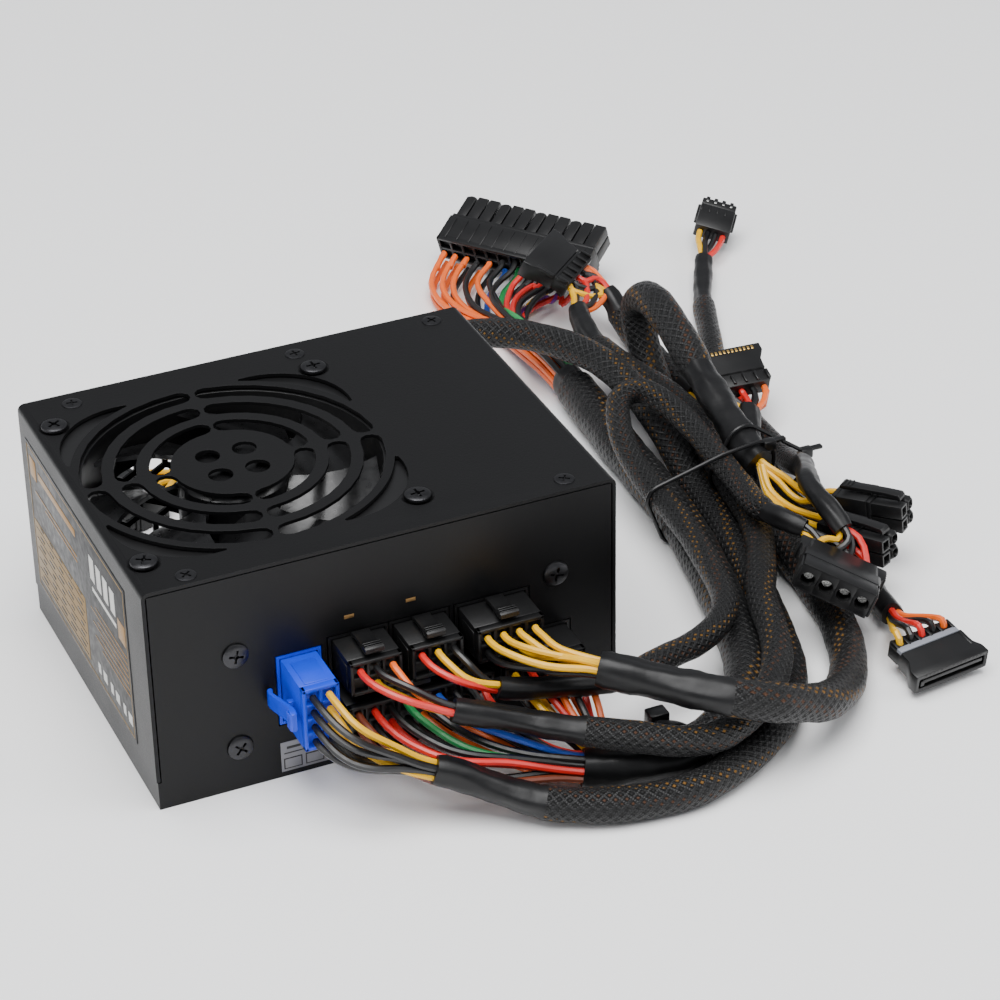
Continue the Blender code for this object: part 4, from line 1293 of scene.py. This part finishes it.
@dataclass
class Lead:
    """A sleeved lead: heat shrink, braided sleeve, heat shrink, and the wires at both ends.

    Attributes:
        name: the solid that it stands for.
        radius: the sleeve's radius.
        start: the end that it starts from.
        finish: the end that it runs to.
        points: the points that it runs through.
        sleeve: the sleeve's finish.
        shrink_radius: the heat shrink's radius.
        far_end: what is on its far end; not used.
        step: the distance between the rings of its mesh.
    """

    name: str
    radius: float
    start: End
    finish: End
    points: tuple[Point, ...]
    sleeve: Braid = SLEEVE
    shrink_radius: float = 0.0
    far_end: str = "connector"
    step: float = 2.2

    def build(self) -> None:
        route = Route(self.points)
        tight, fade, snug = self.shrink_radius or self.radius * 0.82, 0.4, 0.93
        first, last = self.start.bare, route.length - self.finish.bare
        line = route.part(first, last, self.step)
        span = (last - first) / (len(line) - 1)
        marks = [number * span for number in range(len(line))]
        low, high = self.start.shrink, last - first - self.finish.shrink
        radii, slots, ridges = [], [], []
        for mark in marks:
            shrunk = mark < low - 0.1 or mark > high + 0.1
            waver = 0.05 * math.sin(0.31 * mark) + 0.03 * math.sin(0.83 * mark + 1)
            radii.append(tight * (1 + waver) if shrunk else self.radius * (1 + fade * waver))
            slots.append(1 if shrunk else 0)
            ridges.append(0.055 if shrunk else 0.012)
        radii[0] = radii[-1] = tight * snug
        shape = Shape()
        add_tube(shape, line, radii, 24, slots[:-1] if slots[0] else slots[1:], marks, ridges)
        tube = shape.piece(self.name + "_sleeve", [self.sleeve, SHRINK],
                           stands_for=(self.name,), slot="sleeving")
        others = self.add_wires("start", self.start, route.part(-0.01, first + 3, 1.5))
        others += self.add_wires("end", self.finish, route.part(route.length, last - 3, 1.5))
        self.declare(route)

    def add_wires(self, which: str, end: End, path: list[Vector]) -> list[bpy.types.Object]:
        """Make the bare wires of one end.

        Args:
            which: the end's name.
            end: the end.
            path: the middle line from the connector into the heat shrink.

        Returns:
            The wires, or nothing where none show.
        """
        if not end.place:
            return []
        origin = end.place @ Vector((0, 0, 0))
        out = (end.place.to_3x3() @ Vector(end.out)).normalized()
        kept = [p for p in path[::3] if (p - path[0]).length > min(7.0, 0.45 * end.bare)]
        line = Route((origin, origin + out * 2.5, *kept, path[-1]), 4)
        return [Loom(f"{self.name}_{which}_wires", end.layout, end.place, end.pitch,
                     line.part(0, line.length, 1.5), end.loose, end.gathered).build()]

    def declare(self, route: Route) -> None:
        """Log the lead's name and length.

        Args:
            route: the whole lead's route.
        """
        parts = [bpy.data.objects[name] for name in self.start.parts + self.finish.parts]
        log.info("%s: %.0f mm long", self.name, route.length)


def wire_face(name: str, y: float, z: float = 0.0) -> Matrix:
    """The wire face of a free connector."""
    return connector_place(name) @ Matrix.Translation((0, y, z))


class Leads:
    """The five leads that are plugged in, with their branches and free connectors."""

    def __init__(self, plugs: dict[str, PanelPlug]) -> None:
        """Take the panel plugs that the leads start from."""
        self.plugs = plugs
        self.made: dict[str, Lead] = {}

    def starting(self, plug: str, bare: float, shrink: float, loose: float = 1.0) -> End:
        """The end of a lead at a panel plug.

        Args:
            plug: the plug's name.
            bare: length of the bare wires.
            shrink: length of the heat shrink.
            loose: how far the wires bow out.

        Returns:
            The end.
        """
        panel_plug = self.plugs[plug]
        return End(bare, shrink, panel_plug.layout, panel_plug.face, loose=loose)

    def build(self) -> None:
        """Make every lead and connector."""
        TerminalBlock("main_connector", 12, False).build()
        TerminalBlock("cpu_connector_1", 2).build()
        TerminalBlock("cpu_connector_2", 2).build()
        TerminalBlock("graphics_connector", 4).build()
        for number in (1, 2, 3):
            DriveConnector(f"drive_connector_{number}", number == 3, number == 2).build()
        PeripheralConnector("peripheral_connector").build()
        FloppyConnector("floppy_connector").build()
        for lead in (*self.supply_leads(), *self.drive_leads(), *self.peripheral_leads()):
            lead.build()
            self.made[lead.name] = lead
        self.build_second_feed()
        self.build_branch()

    def supply_leads(self) -> list[Lead]:
        """The graphics, processor and main board leads.

        Returns:
            The leads.
        """
        graphics = Lead(
            "graphics_lead", 4.5, self.starting("graphics", 33, 28, 1.3),
            End(10, 14, "YYYY/KKKK", wire_face("graphics_connector", BLOCK_BACK),
                parts=("graphics_connector_housing",)),
            ((-23.8, -65.4, 26), (-23.6, -70, 25.5), (-19, -77, 22), (-9, -80.5, 18),
             (2, -84, 14), (12, -89.5, 9.5), (22, -95, 6), (34, -100.5, 5), (47, -103.5, 4.6),
             (60, -103.5, 4.6), (73, -99, 4.6), (86, -91, 4.6), (97, -80, 4.6),
             (104.5, -66, 4.6), (109.3, -50, 4.6), (113.6, -33, 4.6), (117.3, -15, 4.6),
             (120.5, 5, 4.6), (122, 22, 5.3), (122.8, 36, 9), (122.5, 50, 14),
             (121, 64, 17.5), (117.5, 78, 19.5), (111, 92, 19.5), (101, 105, 18.5),
             (88, 114, 16), (74, 118.5, 11.5), (61, 119, 7), (49, 115.5, 4.9),
             (36, 110.5, 4.6), (22, 104, 4.6), (8, 97.5, 4.6), (-6, 91.6, 4.6),
             (-17.9, 86.9, 5.2)), shrink_radius=3.9)
        processor = Lead(
            "cpu_lead", 5.0, self.starting("cpu", 25, 32, 1.2),
            End(26, 46, "YY/KK", wire_face("cpu_connector_1", BLOCK_BACK),
                parts=("cpu_connector_1_housing", "cpu_connector_2_housing")),
            ((28, -62.4, 32), (28.3, -66, 32), (33, -73.5, 32), (41, -79, 31),
             (51, -86, 29), (61, -93, 27), (70, -98.5, 25.2), (80, -100.5, 22),
             (90, -98.5, 17.5), (99, -95, 13), (107.5, -88, 9), (114, -80, 6.5),
             (120, -69.5, 5.2), (124.5, -56, 5.1), (127.5, -40, 5.1), (130, -20, 5.1),
             (131.5, 0, 5.1), (132.7, 20, 5.1), (133.7, 40, 5.1), (134.5, 56, 5.1),
             (135, 70, 6.2), (136, 81, 11.5), (136.8, 88, 19), (136.8, 90, 26),
             (136.4, 85, 32), (136, 75, 34), (135.8, 62, 31.5), (135.3, 48, 27),
             (134.3, 34, 23.8), (133, 18, 21.6), (132.4, 4.6, 20), (135.6, -1, 16.8),
             (139.2, -6.8, 12.6), (142.6, -11.4, 12.8), (145.6, -15.3, 14.5)),
            sleeve=OPEN_SLEEVE, shrink_radius=4.6)
        board = Lead(
            "main_board_lead", 6.0, self.starting("main_a", 44, 27, 1.6),
            End(76, 6, "OOOKOKKRKRKK/OOKOKBGKNYVR", wire_face("main_connector", BLOCK_BACK),
                parts=("main_connector_housing",), loose=1.8, out=(0.4, -1, 0),
                gathered=0.5),
            ((3.8, -62.4, 19), (4.2, -66, 18.8), (9, -73, 16), (18, -79, 12.5),
             (28, -84, 9), (38, -88, 7), (50, -91, 6.2), (62, -91, 6.1), (73, -86.6, 6.1),
             (83, -79, 6.1), (91.2, -68.6, 6.1), (96.3, -55, 6.1), (100.8, -38, 6.1),
             (104.8, -20, 6.1), (108.3, 0, 6.1), (110.2, 18, 6.1), (111.2, 36, 6.1),
             (112, 54, 6.1), (113, 70, 6.3), (114, 86, 6.8), (114.2, 102, 7),
             (113.2, 118, 6.5), (112.8, 132, 5.6), (114.5, 145, 4.8), (118.6, 154.4, 5),
             (123, 158.9, 6), (126.7, 161.75, 7.8)), shrink_radius=5.2)
        return [graphics, processor, board]

    def drive_leads(self) -> list[Lead]:
        """The lead of the three drive connectors, in its three stretches.

        Returns:
            The stretches.
        """
        flat = (3.6, 0.4)
        first = Lead(
            "drive_lead", 4.0, self.starting("drive", 22, 33),
            End(18, 20, "YKRKO", wire_face("drive_connector_1", DRIVE_BACK), flat,
                ("drive_connector_1_housing",)),
            ((-8, -62.4, 32), (-7.5, -66, 32), (-2.5, -72.5, 30), (7, -77, 26.5),
             (17, -80, 23.5), (27, -84, 20.5), (37, -88.5, 18.3), (47, -93, 16.8),
             (58, -97.3, 14.9), (68, -98, 14.2), (79, -93, 13.9), (89, -84.5, 13.8),
             (97, -73.5, 14), (101.5, -62, 14.4), (105, -50, 14.5), (112, -36, 14),
             (119, -22, 13.1), (123.6, -8, 12.2), (126, 10, 12.7), (128.4, 26, 13.9),
             (131.4, 40, 14.8), (131, 54, 15), (128.6, 68, 14.8), (125.9, 82, 14.6),
             (124.8, 94, 15), (125.6, 104, 16), (128, 112.5, 16.2), (132, 118.8, 15),
             (134.9, 122, 14.9), (135.4, 124, 15.5), (133.1, 126.7, 17.1)))
        second = Lead(
            "drive_lead_2", 4.0, End(9, 8, "YKRKO", wire_face("drive_connector_1", DRIVE_BACK), flat,
                                     loose=0.4),
            End(18, 8, "YKRKO", wire_face("drive_connector_2", DRIVE_BACK), flat,
                ("drive_connector_2_housing",), 0.4),
            ((139, 132.1, 17.2), (141.4, 129.3, 15.5), (143.9, 124.5, 12),
             (144.8, 117, 7.2), (145, 108, 4.4), (145.2, 98, 4.3), (145.2, 88, 4.3),
             (145.2, 78, 4.3), (145.8, 68, 3.8), (146.6, 61.5, 3.9), (147.2, 58, 6),
             (147.4, 57, 10.4)))
        third = Lead(
            "drive_lead_3", 4.0, End(8, 26, "YKRKO", wire_face("drive_connector_2", DRIVE_BACK), flat,
                                     loose=0.4),
            End(14, 17, "OKRKY", wire_face("drive_connector_3", -5.6, 2.2), flat,
                ("drive_connector_3_housing",), 0.5, (0, -0.6, 1)),
            ((152.45, 53, 12.5), (151.9, 48.5, 11.5), (149.5, 43, 10.6), (146, 36, 9.2),
             (143.5, 26, 6.5), (143, 14, 4.6), (143.5, 0, 4.2), (144, -14, 4.2),
             (143.5, -28, 4.2), (142, -42, 4.2), (140.6, -54, 4.6), (138.8, -62, 6.4),
             (137.9, -67.6, 7.6), (138.4, -71.7, 7.1)))
        return [first, second, third]

    def peripheral_leads(self) -> list[Lead]:
        """The lead of the two peripheral connectors, in its two stretches.

        Returns:
            The stretches.
        """
        first = Lead(
            "peripheral_lead", 3.5, self.starting("peripheral", 18, 34),
            End(12, 14, "RKKY", wire_face("peripheral_connector", PERIPHERAL_BACK), (5.08, 1),
                ("peripheral_connector_housing",)),
            ((8.3, -62.4, 32), (8.5, -66, 31.8), (12.5, -70.5, 29.5), (20, -72, 26.3),
             (28, -72, 23.6), (36, -72, 21.8), (44, -73, 20.7), (52, -73, 19.5),
             (60, -70, 18.3), (69, -66, 17.3), (79, -62.5, 16.5), (88, -57, 16.2),
             (95, -48, 16), (98.5, -35, 15.8), (101, -20, 15.8), (102.5, -5, 15.8),
             (103, 10, 15.5), (103.5, 24, 17), (105.5, 37, 20.5), (110.5, 47, 24),
             (116.5, 47, 25), (121, 38, 24), (123, 25, 22), (122.8, 10, 20.8),
             (122, -4, 20.5), (120.8, -14, 21), (120.6, -23, 22.6), (122.8, -31, 23.4),
             (127.2, -37, 21.8), (129, -41.3, 20.2), (126.8, -44.5, 20.6)))
        second = Lead(
            "peripheral_lead_2", 3.5,
            End(12, 48, "RKKY", wire_face("peripheral_connector", PERIPHERAL_BACK), (5.08, 1)),
            End(13, 28, "YKKR", wire_face("floppy_connector", FLOPPY_BACK), (2.5, 1),
                ("floppy_connector_housing",)),
            ((133, -49.4, 17.6), (134.8, -46.4, 17.8), (134.8, -41, 21.6), (133.9, -33.5, 25),
             (133.9, -25, 26), (135.8, -17, 25.2), (139.4, -9.5, 22.6), (144, 0, 18),
             (148.5, 11, 12), (152, 23, 6), (153.7, 36, 3.8), (154.4, 52, 3.6), (156, 68, 3.6),
             (160, 84, 3.6), (167, 102, 3.6), (175, 122, 3.6), (182, 136, 4),
             (188, 147, 5.3), (194.4, 155.2, 6.9)))
        return [first, second]

    def build_second_feed(self) -> None:
        """Make the wires that join the main board lead from its second plug."""
        face = self.plugs["main_b"].face
        line = Route(((37.2, -62.0, 19), (37.2, -66, 18.6), (38, -72, 16), (39.5, -79, 12),
                      (41.5, -84.5, 8.5), (44, -88.5, 6.7), (47, -90.2, 6.4)))
        path = line.part(0, line.length, 1.5)
        Loom("second_feed_wires", self.plugs["main_b"].layout, face, (CELL, CELL), path,
             1.4).build()

    def build_branch(self) -> None:
        """Make the wires of the second processor connector."""
        path = Route(((132.4, 3, 19.6), (131.2, -4, 15), (131.9, -12, 13.4), (134.2, -19, 13.2),
                      (136.8, -25.1, 13.7)))
        path = path.part(path.length, 0, 1.5)
        Loom("cpu_branch_wires", "YY/KK", wire_face("cpu_connector_2", BLOCK_BACK), (CELL, CELL),
             path, 0.8).build(("cpu_branch_lead",))


# ---------------------------------------------------------------- casing

class Facing(Enum):
    """The way that a screw's head points, as the turn from its own +Y."""

    UP = ("X", 90.0)
    FRONT = ("Z", 180.0)
    RIGHT = ("Z", -90.0)

    @property
    def turn(self) -> Matrix:
        """The turn as a matrix."""
        axis, degrees = self.value
        return Matrix.Rotation(math.radians(degrees), 4, axis)


@dataclass
class Screw:
    """A screw head with its recess, standing on a face.

    Attributes:
        at: the middle of its seat.
        facing: the way that it points.
        radius: its head's radius.
        height: how far the head stands out.
        turn: the turn of its recess, in degrees.
    """

    at: Point
    facing: Facing = Facing.UP
    radius: float = 3.2
    height: float = 0.6
    turn: float = 20.0

    def add_to(self, shape: Shape) -> None:
        """Add the screw's head to a mesh.

        Args:
            shape: the mesh that takes it.
        """
        shape.place = (Matrix.Translation(self.at) @ self.facing.turn
                       @ Matrix.Rotation(math.radians(self.turn), 4, "Y"))
        rim, top = self.radius, self.height
        rings = []
        for y, factor, recess in ((-0.4, 0.98, False), (0.0, 1.0, False), (top * 0.55, 0.96, False),
                                  (top, 0.78, False), (top, 0.55, True), (top - 0.9, 0.46, True),
                                  (top - 1.0, 0.12, True)):
            ring = []
            for step, (x, z) in enumerate(circle(32)):
                arm = 0.36 if recess and step % 8 > 2 else 1.0
                reach = rim * factor * arm
                ring.append(Vector((reach * x, y, reach * z)))
            rings.append(ring)
        shape.skin(rings)


class Ink(IntEnum):
    """The layers of the rating plate, in the order of its material slots."""

    FILM = 0
    GOLD = 1
    WHITE = 2
    BRONZE = 3


@dataclass
class Casing:
    """The folded steel tray and cover with their screws, plate and stickers.

    Attributes:
        wide: the casing's width.
        deep: its depth.
        high: its height.
        edge: radius of the sheets' edges.
    """

    wide: float = 125.0
    deep: float = 100.0
    high: float = 63.5
    edge: float = 0.3

    def build(self) -> None:
        """Make the casing's pieces."""
        refined("top_cover", COAT, self.edge)
        refined("chassis_tray", COAT, self.edge)
        self.build_screws()
        self.build_plate()
        self.build_sticker()
        self.build_marks()

    def build_screws(self) -> None:
        """Make the cover's and the connector panel's screws."""
        shape = Shape()
        for number, (x, y) in enumerate(((-49.3, 44.4), (12.6, 44.0), (52.7, 45.2),
                                         (-49.8, -46.3), (50.5, -45.1))):
            Screw((x, y, self.high), radius=2.7, height=0.35, turn=17 * number).add_to(shape)
        for x, z in ((-40.1, 39.8), (-40.4, 12.5), (45.6, 39.8), (45.6, 12.5)):
            Screw((x, -self.deep / 2, z), Facing.FRONT, 3.5, 1.0, x + z).add_to(shape)
        for y, z in ((-46, 59), (-46, 8)):
            Screw((self.wide / 2, y, z), Facing.RIGHT, 2.7, 0.5, y).add_to(shape)
        shape.piece("casing_screws", [SCREW_BLACK], slot="screw_steel")

    def build_plate(self) -> None:
        """Make the rating plate on the left side, with blank blocks for its print."""
        shape, x = Shape(), -self.wide / 2
        low, high, left, right = 11.0, 56.5, 45.0, -36.0
        film, line, ink, over = 0.10, 0.17, 0.18, 0.25

        def patch(y: Pair, z: Pair, rise: float, slot: Ink) -> None:
            """Add a flat patch of print over a span of Y and Z."""
            shape.block((0.12, abs(y[1] - y[0]), z[1] - z[0]),
                        (x - rise, sum(y) / 2, sum(z) / 2), 0.03, slot)

        patch((right, left), (low, high), film, Ink.FILM)
        for z in (low + 1.0, high - 1.3):
            patch((right + 1, left - 1), (z, z + 0.3), line, Ink.GOLD)
        for y in (right + 1.0, left - 1.3):
            patch((y, y + 0.3), (low + 1, high - 1), line, Ink.GOLD)
        patch((0, 43.0), (14, 33), ink, Ink.GOLD)
        for row in range(6):
            z = row * 3.2
            patch((1.2, 41.8), (15.0 + z, 15.2 + z), over, Ink.FILM)
            for column in range(5):
                patch((3.0 + column * 8, 7.6 + column * 8 - row % 3), (16.2 + z, 16.8 + z), over,
                      Ink.FILM)
        for row in range(7):
            patch((-34, -34 + 22 + (row * 5) % 9), (24 + row * 1.9, 24.4 + row * 1.9), ink,
                  Ink.BRONZE)
        for number in range(6):
            patch((-34 + number * 5, -31 + number * 5 - number % 2), (15, 18), ink, Ink.WHITE)
        for y, z in (((-34, -28.5), (38.5, 44.5)), ((4, 35), (49, 51.2)), ((37, 42), (47, 53)),
                     ((4, 39), (43, 43.5)), ((4, 31), (41.4, 41.9))):
            patch(y, z, ink, Ink.BRONZE)
        for bar in range(4):
            patch((-27 + bar * 5.4, -27 + bar * 5.4 + 3.6), (43.5, 50.5), ink, Ink.WHITE)
        patch((-27, -8), (40.2, 41.4), ink, Ink.WHITE)
        shape.piece("rating_plate", [LABEL_BLACK, LABEL_GOLD, LABEL_WHITE, BRONZE],
                    slot="black_plastic")

    def build_sticker(self) -> None:
        """Make the small sticker on the connector panel, with blank boxes."""
        shape, y = Shape(), -self.deep / 2
        shape.block((17, 0.14, 8.8), (-21.5, y - 0.08, 6.0), 0.03)
        for x in (-29.2, -23.4, -17.6):
            shape.block((4.9, 0.12, 3.2), (x + 2.3, y - 0.16, 3.9), 0.02, 1)
            shape.block((4.3, 0.12, 2.6), (x + 2.3, y - 0.2, 3.9), 0.02, 0)
        shape.block((15.4, 0.12, 0.3), (-21.5, y - 0.16, 7.0), 0.02, 1)
        shape.block((11.0, 0.12, 0.7), (-22.9, y - 0.16, 8.6), 0.02, 1)
        shape.piece("panel_sticker", [LABEL_GREY, LABEL_BLACK], slot="black_plastic")

    def build_marks(self) -> None:
        """Make two small bronze bars above the sockets."""
        shape, y = Shape(), -self.deep / 2
        for x, z in ((-10.2, 42.7), (6.2, 43.0)):
            shape.block((2.6, 0.1, 1.0), (x, y - 0.06, z), 0.02)
        shape.piece("panel_marks", [BRONZE], slot="black_plastic")


@dataclass
class Fan:
    """The cooling fan, seen through the grille.

    Attributes:
        centre: its axis, X and Y.
        pitch: the side of the square of its screws.
        top: the height of the face that the screws stand on.
    """

    centre: Pair = (-21.4, -1.0)
    pitch: float = 71.5
    top: float = 63.5

    def build(self) -> None:
        """Dress the fan's solids and make its screws."""
        for node in ("fan_frame", "fan_stator"):
            refined(node, BLACK_NYLON, 0.25)
        refined("fan_rotor", FAN_GLOSS, 0.25, "fan_rotor")
        names, shape = tuple(f"fan_screw_{number}" for number in (1, 2, 3, 4)), Shape()
        x, y = self.centre
        for number, (sx, sy) in enumerate(((1, 1), (-1, 1), (-1, -1), (1, -1))):
            at = (x + sx * self.pitch / 2, y + sy * self.pitch / 2, self.top + 0.3)
            Screw(at, radius=3.5, height=0.75, turn=12 + 31 * number).add_to(shape)
        shape.piece("fan_screws", [SCREW_BLACK], stands_for=names, slot="screw_steel")


@dataclass
class RearPanel:
    """The mains inlet and switch at the back.

    Attributes:
        inlet: the inlet's middle, X and Z.
        face: where the rear panel's face stands.
    """

    inlet: Pair = (38.0, 19.5)
    face: float = 50.0

    def build(self) -> None:
        """Dress the inlet and the switch, and make the inlet's pins."""
        refined("ac_inlet", BLACK_NYLON, 0.4)
        refined("power_switch_body", BLACK_NYLON, 0.35)
        refined("power_switch_rocker", Gloss("rocker_gloss", (0.014, 0.014, 0.015), 0.28, 0.4),
                0.4, "power_switch_rocker")
        shape, (x, z) = Shape(), self.inlet
        for dx, dz in ((-7, -1.5), (0, 2.5), (7, -1.5)):
            shape.block((2.1, 14.4, 4.1), (x + dx, self.face - 8.0, z + dz), 0.5)
        shape.piece("inlet_pins", [STEEL], slot="aluminium")


class Electronics:
    """The boards and parts inside, which show through the vents."""

    FINISHES = {
        BOARD: ("main_circuit_board", "socket_board"),
        FILM_IN_PAINTED_SHADE: ("insulating_sheet",),
        ALUMINIUM_DARK_AND_PAINTED_SHADE: ("primary_heatsink", "secondary_heatsink"),
        CAN_SLEEVE: ("bulk_capacitor",),
        COPPER_IN_PAINTED_SHADE: ("pfc_choke", "output_choke"),
        FERRITE: ("filter_choke", "main_transformer", "standby_transformer"),
        EPOXY: ("bridge_rectifier",),
        BLACK_NYLON: ("drive_socket", "peripheral_socket", "cpu_socket", "main_a_socket",
                      "main_b_socket"),
        BLUE_NYLON: ("graphics_socket",),
    }

    def build(self) -> None:
        """Give every solid inside its finish."""
        for finish, nodes in self.FINISHES.items():
            for node in nodes:
                self.dress(node, finish)

    @staticmethod
    def dress(node: str, finish: Finish) -> None:
        """Give a solid of the frame its finish.

        Args:
            node: the solid's name.
            finish: the finish.
        """
        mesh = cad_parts[node].data
        mesh.materials.clear()
        mesh.materials.append(finish.material())
        log.info("%s dressed in %s", node, finish.name)


@dataclass
class CableTie:
    """A thin nylon tie round several leads, in a plane across them.

    Attributes:
        name: the piece's name.
        y: where the plane stands.
        routes: the leads that it holds, with their radii.
        thick: the strap's thickness.
    """

    name: str
    y: float
    routes: list[tuple[Route, float]]
    thick: float = 0.6

    def hull(self) -> list[Pair]:
        """The line round all the leads in the plane.

        Returns:
            The line's points, X and Z.
        """
        dots = []
        for route, radius in self.routes:
            for a, b in zip(route.line, route.line[1:]):
                if (a.y - self.y) * (b.y - self.y) > 0 or a.y == b.y:
                    continue
                spot = a.lerp(b, (self.y - a.y) / (b.y - a.y))
                reach = radius + self.thick - 0.1
                dots += [(spot.x + reach * x, max(self.thick + 0.1, spot.z + reach * z))
                         for x, z in circle(24)]
        dots = sorted(set(dots))
        halves = []
        for order in (dots, dots[::-1]):
            chain = []
            for dot in order:
                while len(chain) > 1 and self.cross(chain[-2], chain[-1], dot) <= 0:
                    chain.pop()
                chain.append(dot)
            halves += chain[:-1]
        return halves

    @staticmethod
    def cross(a: tuple, b: tuple, c: tuple) -> float:
        """Twice the signed area of a triangle."""
        return (b[0] - a[0]) * (c[1] - a[1]) - (b[1] - a[1]) * (c[0] - a[0])

    def build(self) -> None:
        """Make the tie, with its head on the right."""
        loop = [Vector((x, self.y, z)) for x, z in self.hull()]
        shape = Shape()
        add_tube(shape, loop + loop[:2], [self.thick] * (len(loop) + 2), 8)
        side = max(loop, key=lambda p: p.x + p.z)
        shape.block((3.6, 2.8, 3.0), (side.x, side.y, side.z), 0.4)
        shape.block((3.6, 1.8, 0.9), (side.x + 3.2, side.y, side.z + 0.9), 0.2)
        shape.piece(self.name, [TIE_NYLON], slot="black_plastic")


class CableTies:
    """The ties that hold the leads together."""

    def __init__(self, leads: dict[str, Lead]) -> None:
        """Take the leads that the ties hold."""
        self.leads = leads

    def held(self, *names: str) -> list[tuple[Route, float]]:
        """The routes and radii of some leads."""
        return [(Route(self.leads[name].points), self.leads[name].radius) for name in names]

    def build(self) -> None:
        """Make the ties."""
        bundle = ("drive_lead", "peripheral_lead", "main_board_lead", "graphics_lead",
                  "cpu_lead")
        branches = ("cpu_lead", "drive_lead", "drive_lead_3", "peripheral_lead_2")
        CableTie("bundle_tie_1", 6.0, self.held(*bundle)).build()
        CableTie("bundle_tie_2", 14.0, self.held(*branches)).build()
        shape = Shape()
        line = Route(((56, -86, 13.2), (60, -90, 14.2), (64, -94, 12.5), (67.5, -97.5, 8.5)), 4)
        add_tube(shape, line.part(0, line.length, 1.0), [1.2] * (round(line.length) + 1), 8)
        shape.block((5.2, 4.4, 4.2), (57.5, -84, 13.6), 0.4)
        shape.piece("lead_tie", [TIE_NYLON], slot="black_plastic")


# ---------------------------------------------------------------- studio

@dataclass
class Studio:
    """The pale floor, the soft lights and the camera.

    Attributes:
        place: the camera's place, in metres.
        azimuth: the turn of its line of sight from +Y towards +X, in radians.
        elevation: how far it looks down, in radians.
        roll: its turn about the line of sight, in radians.
        lens: its focal length, in millimetres.
        sensor: its sensor's width, in millimetres.
        sky: the colour of the light from all round.
        sky_strength: the strength of that light.
        floor_half: half the floor's side, in metres.
        target: where the lamps point, in metres.
    """

    place: Point = (-0.24698, -0.69441, 0.49827)
    azimuth: float = 0.4070072
    elevation: float = 0.5527736
    roll: float = -0.0199695
    lens: float = 120.6
    sensor: float = 36.0
    sky: Colour = (0.93, 0.95, 1.0)
    sky_strength: float = 0.42
    floor_half: float = 4.0
    target: Point = (0.06, 0.02, 0.02)

    def build_camera(self) -> None:
        """Make the camera."""
        data = bpy.data.cameras.new("camera")
        data.lens, data.sensor_width, data.clip_end = self.lens, self.sensor, 20.0
        camera = bpy.data.objects.new("camera", data)
        bpy.context.scene.collection.objects.link(camera)
        ahead = Vector((math.sin(self.azimuth) * math.cos(self.elevation),
                        math.cos(self.azimuth) * math.cos(self.elevation),
                        -math.sin(self.elevation)))
        level = ahead.cross(Vector((0, 0, 1))).normalized()
        rise = level.cross(ahead)
        right = level * math.cos(self.roll) + rise * math.sin(self.roll)
        up = rise * math.cos(self.roll) - level * math.sin(self.roll)
        turn = Matrix((right, up, -ahead)).transposed().to_4x4()
        camera.matrix_world = Matrix.Translation(self.place) @ turn
        bpy.context.scene.camera = camera

    def build_floor(self) -> None:
        """Make the floor."""
        bm = bmesh.new()
        bmesh.ops.create_grid(bm, x_segments=2, y_segments=2, size=self.floor_half)
        mesh = bpy.data.meshes.new("floor")
        bm.to_mesh(mesh)
        bm.free()
        mixer = Mixer("floor_paper")
        grain = mixer.noise(1800, 2)
        mesh.materials.append(mixer.done({
            "Base Color": mixer.blend(grain, (0.95, 0.95, 0.95), (0.98, 0.98, 0.98)),
            "Roughness": 0.6}))
        floor = bpy.data.objects.new("floor", mesh)
        bpy.context.scene.collection.objects.link(floor)

    def build_lights(self) -> None:
        """Make the sky and the soft lights."""
        world = bpy.data.worlds.new("studio")
        world.use_nodes = True
        background = world.node_tree.nodes["Background"]
        background.inputs[0].default_value = opaque(self.sky)
        background.inputs[1].default_value = self.sky_strength
        bpy.context.scene.world = world
        self.panel("overhead", (-0.15, -0.25, 1.5), 1.3, 42.0)
        self.panel("left", (-1.2, -0.5, 0.9), 0.7, 4.5)
        self.panel("right", (1.1, -0.7, 0.9), 0.7, 6.0)

    def panel(self, name: str, at: Point, size: float, power: float) -> None:
        """Make a soft square light that faces the object.

        Args:
            name: its name.
            at: its place.
            size: its side.
            power: its power in watts.
        """
        data = bpy.data.lights.new(name, "AREA")
        data.size, data.energy = size, power
        lamp = bpy.data.objects.new(name, data)
        lamp.location = at
        aim = Vector(self.target) - Vector(at)
        lamp.rotation_euler = aim.to_track_quat("-Z", "Y").to_euler()
        bpy.context.scene.collection.objects.link(lamp)


def panel_plugs() -> dict[str, PanelPlug]:
    """The six plugs of the connector panel, by name.

    Returns:
        The plugs.
    """
    plugs = (
        PanelPlug("graphics", 4, (-23.8, 26), 15, "KKKK/KYYY", True, BLUE_NYLON, flare=2.4),
        PanelPlug("drive", 3, (-8, 32), 12, "RKO/.YK"),
        PanelPlug("peripheral", 3, (8.3, 32), 12, "RYK/.K."),
        PanelPlug("cpu", 4, (28, 32), 12, "YYYY/KKYK"),
        PanelPlug("main_a", 9, (3.8, 19), 12, "NRKGKBKKR/NKRKOOKKE"),
        PanelPlug("main_b", 5, (37.2, 19), 12, "YROKO/KYKOR"),
    )
    return {plug.name: plug for plug in plugs}


def main() -> None:
    """Build the whole object in order."""
    logging.basicConfig(level=logging.INFO, format="%(message)s")
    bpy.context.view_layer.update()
    studio = Studio()
    studio.build_camera()
    plugs = panel_plugs()
    for plug in plugs.values():
        plug.build()
    leads = Leads(plugs)
    leads.build()
    for part in (Casing(), Fan(), RearPanel(), Electronics(), CableTies(leads.made)):
        part.build()
        log.info("%s built", type(part).__name__)
    studio.build_floor()
    studio.build_lights()


if __name__ == "__main__":
    main()
